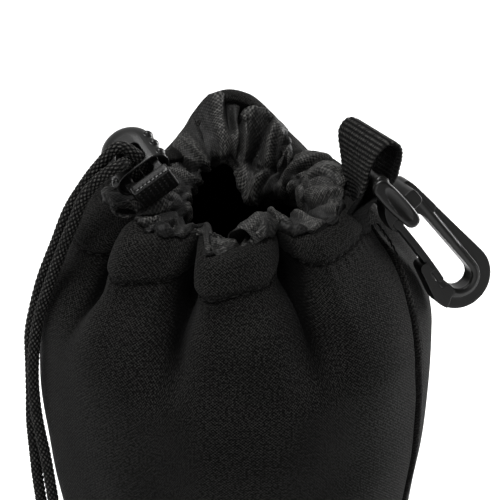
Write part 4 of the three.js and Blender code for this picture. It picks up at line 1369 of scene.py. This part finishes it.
BEND_X = HOOK_LENGTH - BEND_RADIUS
BEND_INNER = BEND_RADIUS - HOOK_STEM
SPINE_OUT = BEND_Y + BEND_RADIUS
SPINE_IN = BEND_Y + BEND_INNER
NOSE_OUT = BEND_Y - BEND_RADIUS
NOSE_IN = BEND_Y - BEND_INNER
NOSE_TIP = BEND_X - 10.4
BRIDGE_TO = BRIDGE_FROM + BRIDGE_DEPTH
GATE_X = BRIDGE_TO + 4.2
BAR_HALF = WEBBING_WIDTH / 2 + 2 * GAP
HOOK_DOWN = HOOK_FLAT * np.cos(np.radians(HOOK_HANG)) + HOOK_RISE * np.sin(np.radians(HOOK_HANG))
HOOK_OUT = np.cross(HOOK_BAR, HOOK_DOWN)
HOOK_AXES = (HOOK_DOWN, HOOK_OUT, HOOK_BAR)


def hook_outline():
    top = BRIDGE_FROM + 0.6
    return outline(
        (top, -1.2), bow((top, 6.4), (top + 0.2, SPINE_OUT - 3.4), (BRIDGE_FROM + 5, SPINE_OUT - 3)),
        arc(BEND_X, BEND_Y, BEND_RADIUS, 96, -90, 50),
        (NOSE_TIP + 1.4, NOSE_OUT + 2),
        bow((NOSE_TIP + 1.4, NOSE_OUT + 2), (NOSE_TIP - 0.8, NOSE_OUT + 2.6), (NOSE_TIP + 0.4, NOSE_IN - 1)),
        arc(BEND_X, BEND_Y, BEND_INNER, -90, 90, 32),
        bow((GATE_X + 6, SPINE_IN - 0.4), (GATE_X, SPINE_IN - 0.6), (GATE_X - 0.4, GATE_Y + 3.2)),
        (GATE_X + 1.2, GATE_Y + 2.8), (GATE_X + 1.2, GATE_Y - 2.2),
        bow((GATE_X + 1.2, GATE_Y - 2.2), (GATE_X - 2.5, GATE_Y - 3), (BRIDGE_TO - 1.5, -3.6)),
    )


def band_outline():
    beyond = BEND_RADIUS + 1
    return outline(
        (BRIDGE_TO + BAND_RIM + 3, BEND_Y + beyond),
        arc(BEND_X, BEND_Y, beyond, 90, -BAND_END, 40),
        arc(BEND_X, BEND_Y, BEND_INNER + BAND_RIM, -BAND_END, 90, 32),
        (BRIDGE_TO + BAND_RIM + 6, SPINE_IN + BAND_RIM - 0.3),
    )


def arm_outline(inset):
    half = ARM_WIDTH / 2 - inset
    tip = BRIDGE_TO + ARM_REACH
    return np.array((0, -ARM_DROP)) + outline(
        arc(ARM_START, 0, half, 90, 270, 16),
        bow((ARM_START, -half), (tip / 2, -half - 0.2), (tip, -half + 1.2), 12),
        arc(tip, 0.9, half - 0.3, -70, 70, 12),
        bow((tip, half + 0.6), (tip / 2, half + 0.9), (ARM_START, half), 12),
    )


def bead(side):
    """Rounded rim along the inner edge of the spine and the bend, on one face."""
    level = side * (HOOK_THICK / 2 - BEAD_RADIUS + 0.35)
    beyond = BEND_INNER + BEAD_RADIUS - 0.1
    line = outline(
        (BRIDGE_TO + 2.5, BEND_Y + beyond), (mix(BRIDGE_TO, BEND_X, 0.5), BEND_Y + beyond),
        arc(BEND_X, BEND_Y, beyond, 90, -BAND_END, 24),
    )
    path = evenly(np.column_stack([line, np.full(len(line), level)]), 0.5)
    return tube_solid(path, 16, BEAD_RADIUS)


def make_hook():
    body = plate(hook_outline(), HOOK_THICK / 2)
    arms = []
    for side in (-1, 1):
        arm = pillow(arm_outline, ARM_THICK, 0.9)
        arm.data.transform(Matrix.Translation((0, 0, side * (BAR_HALF + ARM_THICK / 2))))
        arms.append(arm)
    reach = BAR_HALF + 0.5
    bar = pin(BAR_RADIUS, 0, 0, reach)
    bridge_shape = rounded_box(BRIDGE_FROM + BRIDGE_DEPTH / 2, BRIDGE_DEPTH / 2, 3.6, 1.4)
    bridge = plate(bridge_shape + (0, 2.4), reach)
    combine(body, "UNION", *arms, bar, bridge)
    bands = [
        prism(band_outline(), *sorted((side * (HOOK_THICK / 2 - BAND_DEPTH), side * HOOK_THICK)))
        for side in (-1, 1)
    ]
    notch_floor = GATE_TIP_Y - GATE_THICK / 2 - GAP
    notch = block(NOTCH_FROM, NOTCH_TO, notch_floor, NOSE_IN + 1, HOOK_THICK)
    socket = pin(GATE_BEAD + GAP, GATE_X, GATE_Y, HOOK_THICK)
    mouth = block(GATE_X, GATE_X + 4, GATE_Y - 1.5, GATE_Y + 1.9, HOOK_THICK)
    dishes = [
        ball((7.0, 0.8 - ARM_DROP, side * (BAR_HALF + ARM_THICK + 0.4)), (6.4, 1.9, 1.3), 20)
        for side in (-1, 1)
    ]
    combine(body, "DIFFERENCE", socket, mouth, notch, *bands, *dishes)
    combine(body, "UNION", *[bead(side) for side in (-1, 1)])
    return moulded("hook_body_moulding", body, BAR_CENTRE, HOOK_AXES, voxel=0.2, rounds=4)


def make_gate():
    half = GATE_THICK / 2
    tip = GATE_TIP_X
    rest = GATE_TIP_Y - half
    middle = mix(GATE_X, tip, 0.5)
    shape = outline(
        bow((GATE_X, GATE_Y - half), (middle, GATE_Y - half), (tip, rest), 20),
        bow((tip, rest), (tip + 0.9, rest + half), (tip, rest + GATE_THICK), 8),
        bow((tip, rest + GATE_THICK), (middle, GATE_Y + half + 0.2), (GATE_X, GATE_Y + half), 20),
    )
    tongue = plate(shape, GATE_WIDTH / 2)
    combine(tongue, "UNION", pin(GATE_BEAD, GATE_X, GATE_Y, GATE_WIDTH / 2))
    return moulded("hook_gate_moulding", tongue, BAR_CENTRE, HOOK_AXES, voxel=0.15, rounds=3)


# Stage


def seen_by(tree, *rays):
    """1 for the camera's rays and the kinds named, 0 for all others."""
    path = add(tree, "ShaderNodeLightPath")
    seen = path.outputs["Is Camera Ray"]
    for ray in rays:
        seen = maths(tree, "MAXIMUM", seen, path.outputs[ray])
    return seen


def make_stage():
    floor_look, tree, shader = finish("pale_floor", 0.9, 0.9, 0.1)
    seen = seen_by(tree, "Is Glossy Ray", "Is Transmission Ray")
    shader.inputs["Emission Color"].default_value = (1, 1, 1, 1)
    tree.links.new(maths(tree, "MULTIPLY", seen, FLOOR_GLOW), shader.inputs["Emission Strength"])
    corners = [(x * FLOOR_HALF, y * FLOOR_HALF, 0) for x, y in ((-1, -1), (1, -1), (1, 1), (-1, 1))]
    floor = new_piece("floor", corners, [(0, 1, 2, 3)], floor_look)
    world = bpy.data.worlds.new("studio")
    world.use_nodes = True
    tree = world.node_tree
    sky = tree.nodes["Background"]
    sky.inputs["Color"].default_value = (1, 1, 1, 1)
    seen = seen_by(tree, "Is Transmission Ray")
    way = add(tree, "ShaderNodeSeparateXYZ", Vector=add(tree, "ShaderNodeTexCoord").outputs["Generated"])
    span = {"From Min": -0.3, "From Max": 0.7, "To Min": 0.06, "To Max": 0.55}
    eased_step = {"interpolation_type": "SMOOTHSTEP"}
    backdrop = add(tree, "ShaderNodeMapRange", eased_step, Value=way.outputs["Y"], **span)
    level = add(tree, "ShaderNodeMix", _0=seen, _2=backdrop.outputs["Result"], _3=1.0)
    tree.links.new(level.outputs[0], sky.inputs["Strength"])
    bpy.context.scene.world = world


def area_light(name, place, aim, size, power):
    lamp = bpy.data.lights.new(name, "AREA")
    lamp.shape = "RECTANGLE"
    lamp.size, lamp.size_y = size
    lamp.energy = power
    light = bpy.data.objects.new(name, lamp)
    light.location = place
    light.rotation_euler = (Vector(aim) - Vector(place)).to_track_quat("-Z", "Y").to_euler()
    bpy.context.collection.objects.link(light)


def make_camera():
    lens = bpy.data.cameras.new("camera")
    lens.sensor_width = SENSOR
    lens.sensor_fit = "AUTO"
    lens.lens = FOCAL_PIXELS / PICTURE_PIXELS * SENSOR
    camera = bpy.data.objects.new("camera", lens)
    away = Vector(VIEW_BACK).normalized()
    camera.location = (Vector(VIEW_TARGET) + away * VIEW_DISTANCE) * MM
    camera.rotation_euler = (-away).to_track_quat("-Z", "Y").to_euler()
    lens.clip_end = 50
    bpy.context.collection.objects.link(camera)
    bpy.context.scene.camera = camera


# Picture

make_camera()
make_stage()
for light in LIGHTS:
    area_light(*light)
bpy.context.scene.view_settings.view_transform = "Standard"

# Pieces

(tail_front, front_path), (tail_back, back_path) = make_tails()
knot = make_knot()
sleeve, hem, mouth_edge = make_sleeve()
seam = seam_threads()
lining = make_lining()
base, binding, base_lining = make_base()
casing, casing_rows = make_casing(mouth_edge)
roll = make_roll()
ring = make_ring(casing_rows)
barrel = make_barrel()
plunger = make_plunger()
webbing = make_webbing()
hook = make_hook()
gate = make_gate()

# Body, material slot and replaced nodes of each piece

for piece, body, slot, nodes in (
    (tail_front, "cord_lock", "cord", ["drawcord_tail_front"]),
    (tail_back, "cord_lock", "cord", ["drawcord_tail_back"]),
    (knot[0], "cord_lock", "cord", ["tail_knot"]),
    (knot[1], "cord_lock", "cord", []),
    (knot[2], "cord_lock", "cord", []),
    (sleeve, "pouch", "neoprene", ["sleeve"]),
    (hem, "pouch", "cord", []),
    (seam, "pouch", "cord", []),
    (lining, "pouch", "plush", ["lining_sleeve"]),
    (base, "pouch", "neoprene", ["base_panel"]),
    (binding, "pouch", "nylon", ["base_binding"]),
    (base_lining, "pouch", "plush", ["lining_base"]),
    (casing, "pouch", "nylon", ["casing"]),
    (roll, "pouch", "nylon", []),
    (webbing, "pouch", "webbing", ["webbing_loop"]),
    (barrel, "cord_lock", "plastic", ["lock_barrel"]),
    (plunger, "plunger", "plastic", ["lock_plunger"]),
    (hook, "hook", "plastic", ["hook_body"]),
    (gate, "gate", "plastic", ["hook_gate"]),
):
    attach(piece, body)
    if nodes:
        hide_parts(*nodes)

# The cord ring stretches between the pouch and the lock

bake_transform(ring)
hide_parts("drawcord_loop")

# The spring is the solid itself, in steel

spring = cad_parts["lock_spring"].data.materials
spring.clear()
spring.append(STEEL_LOOK)
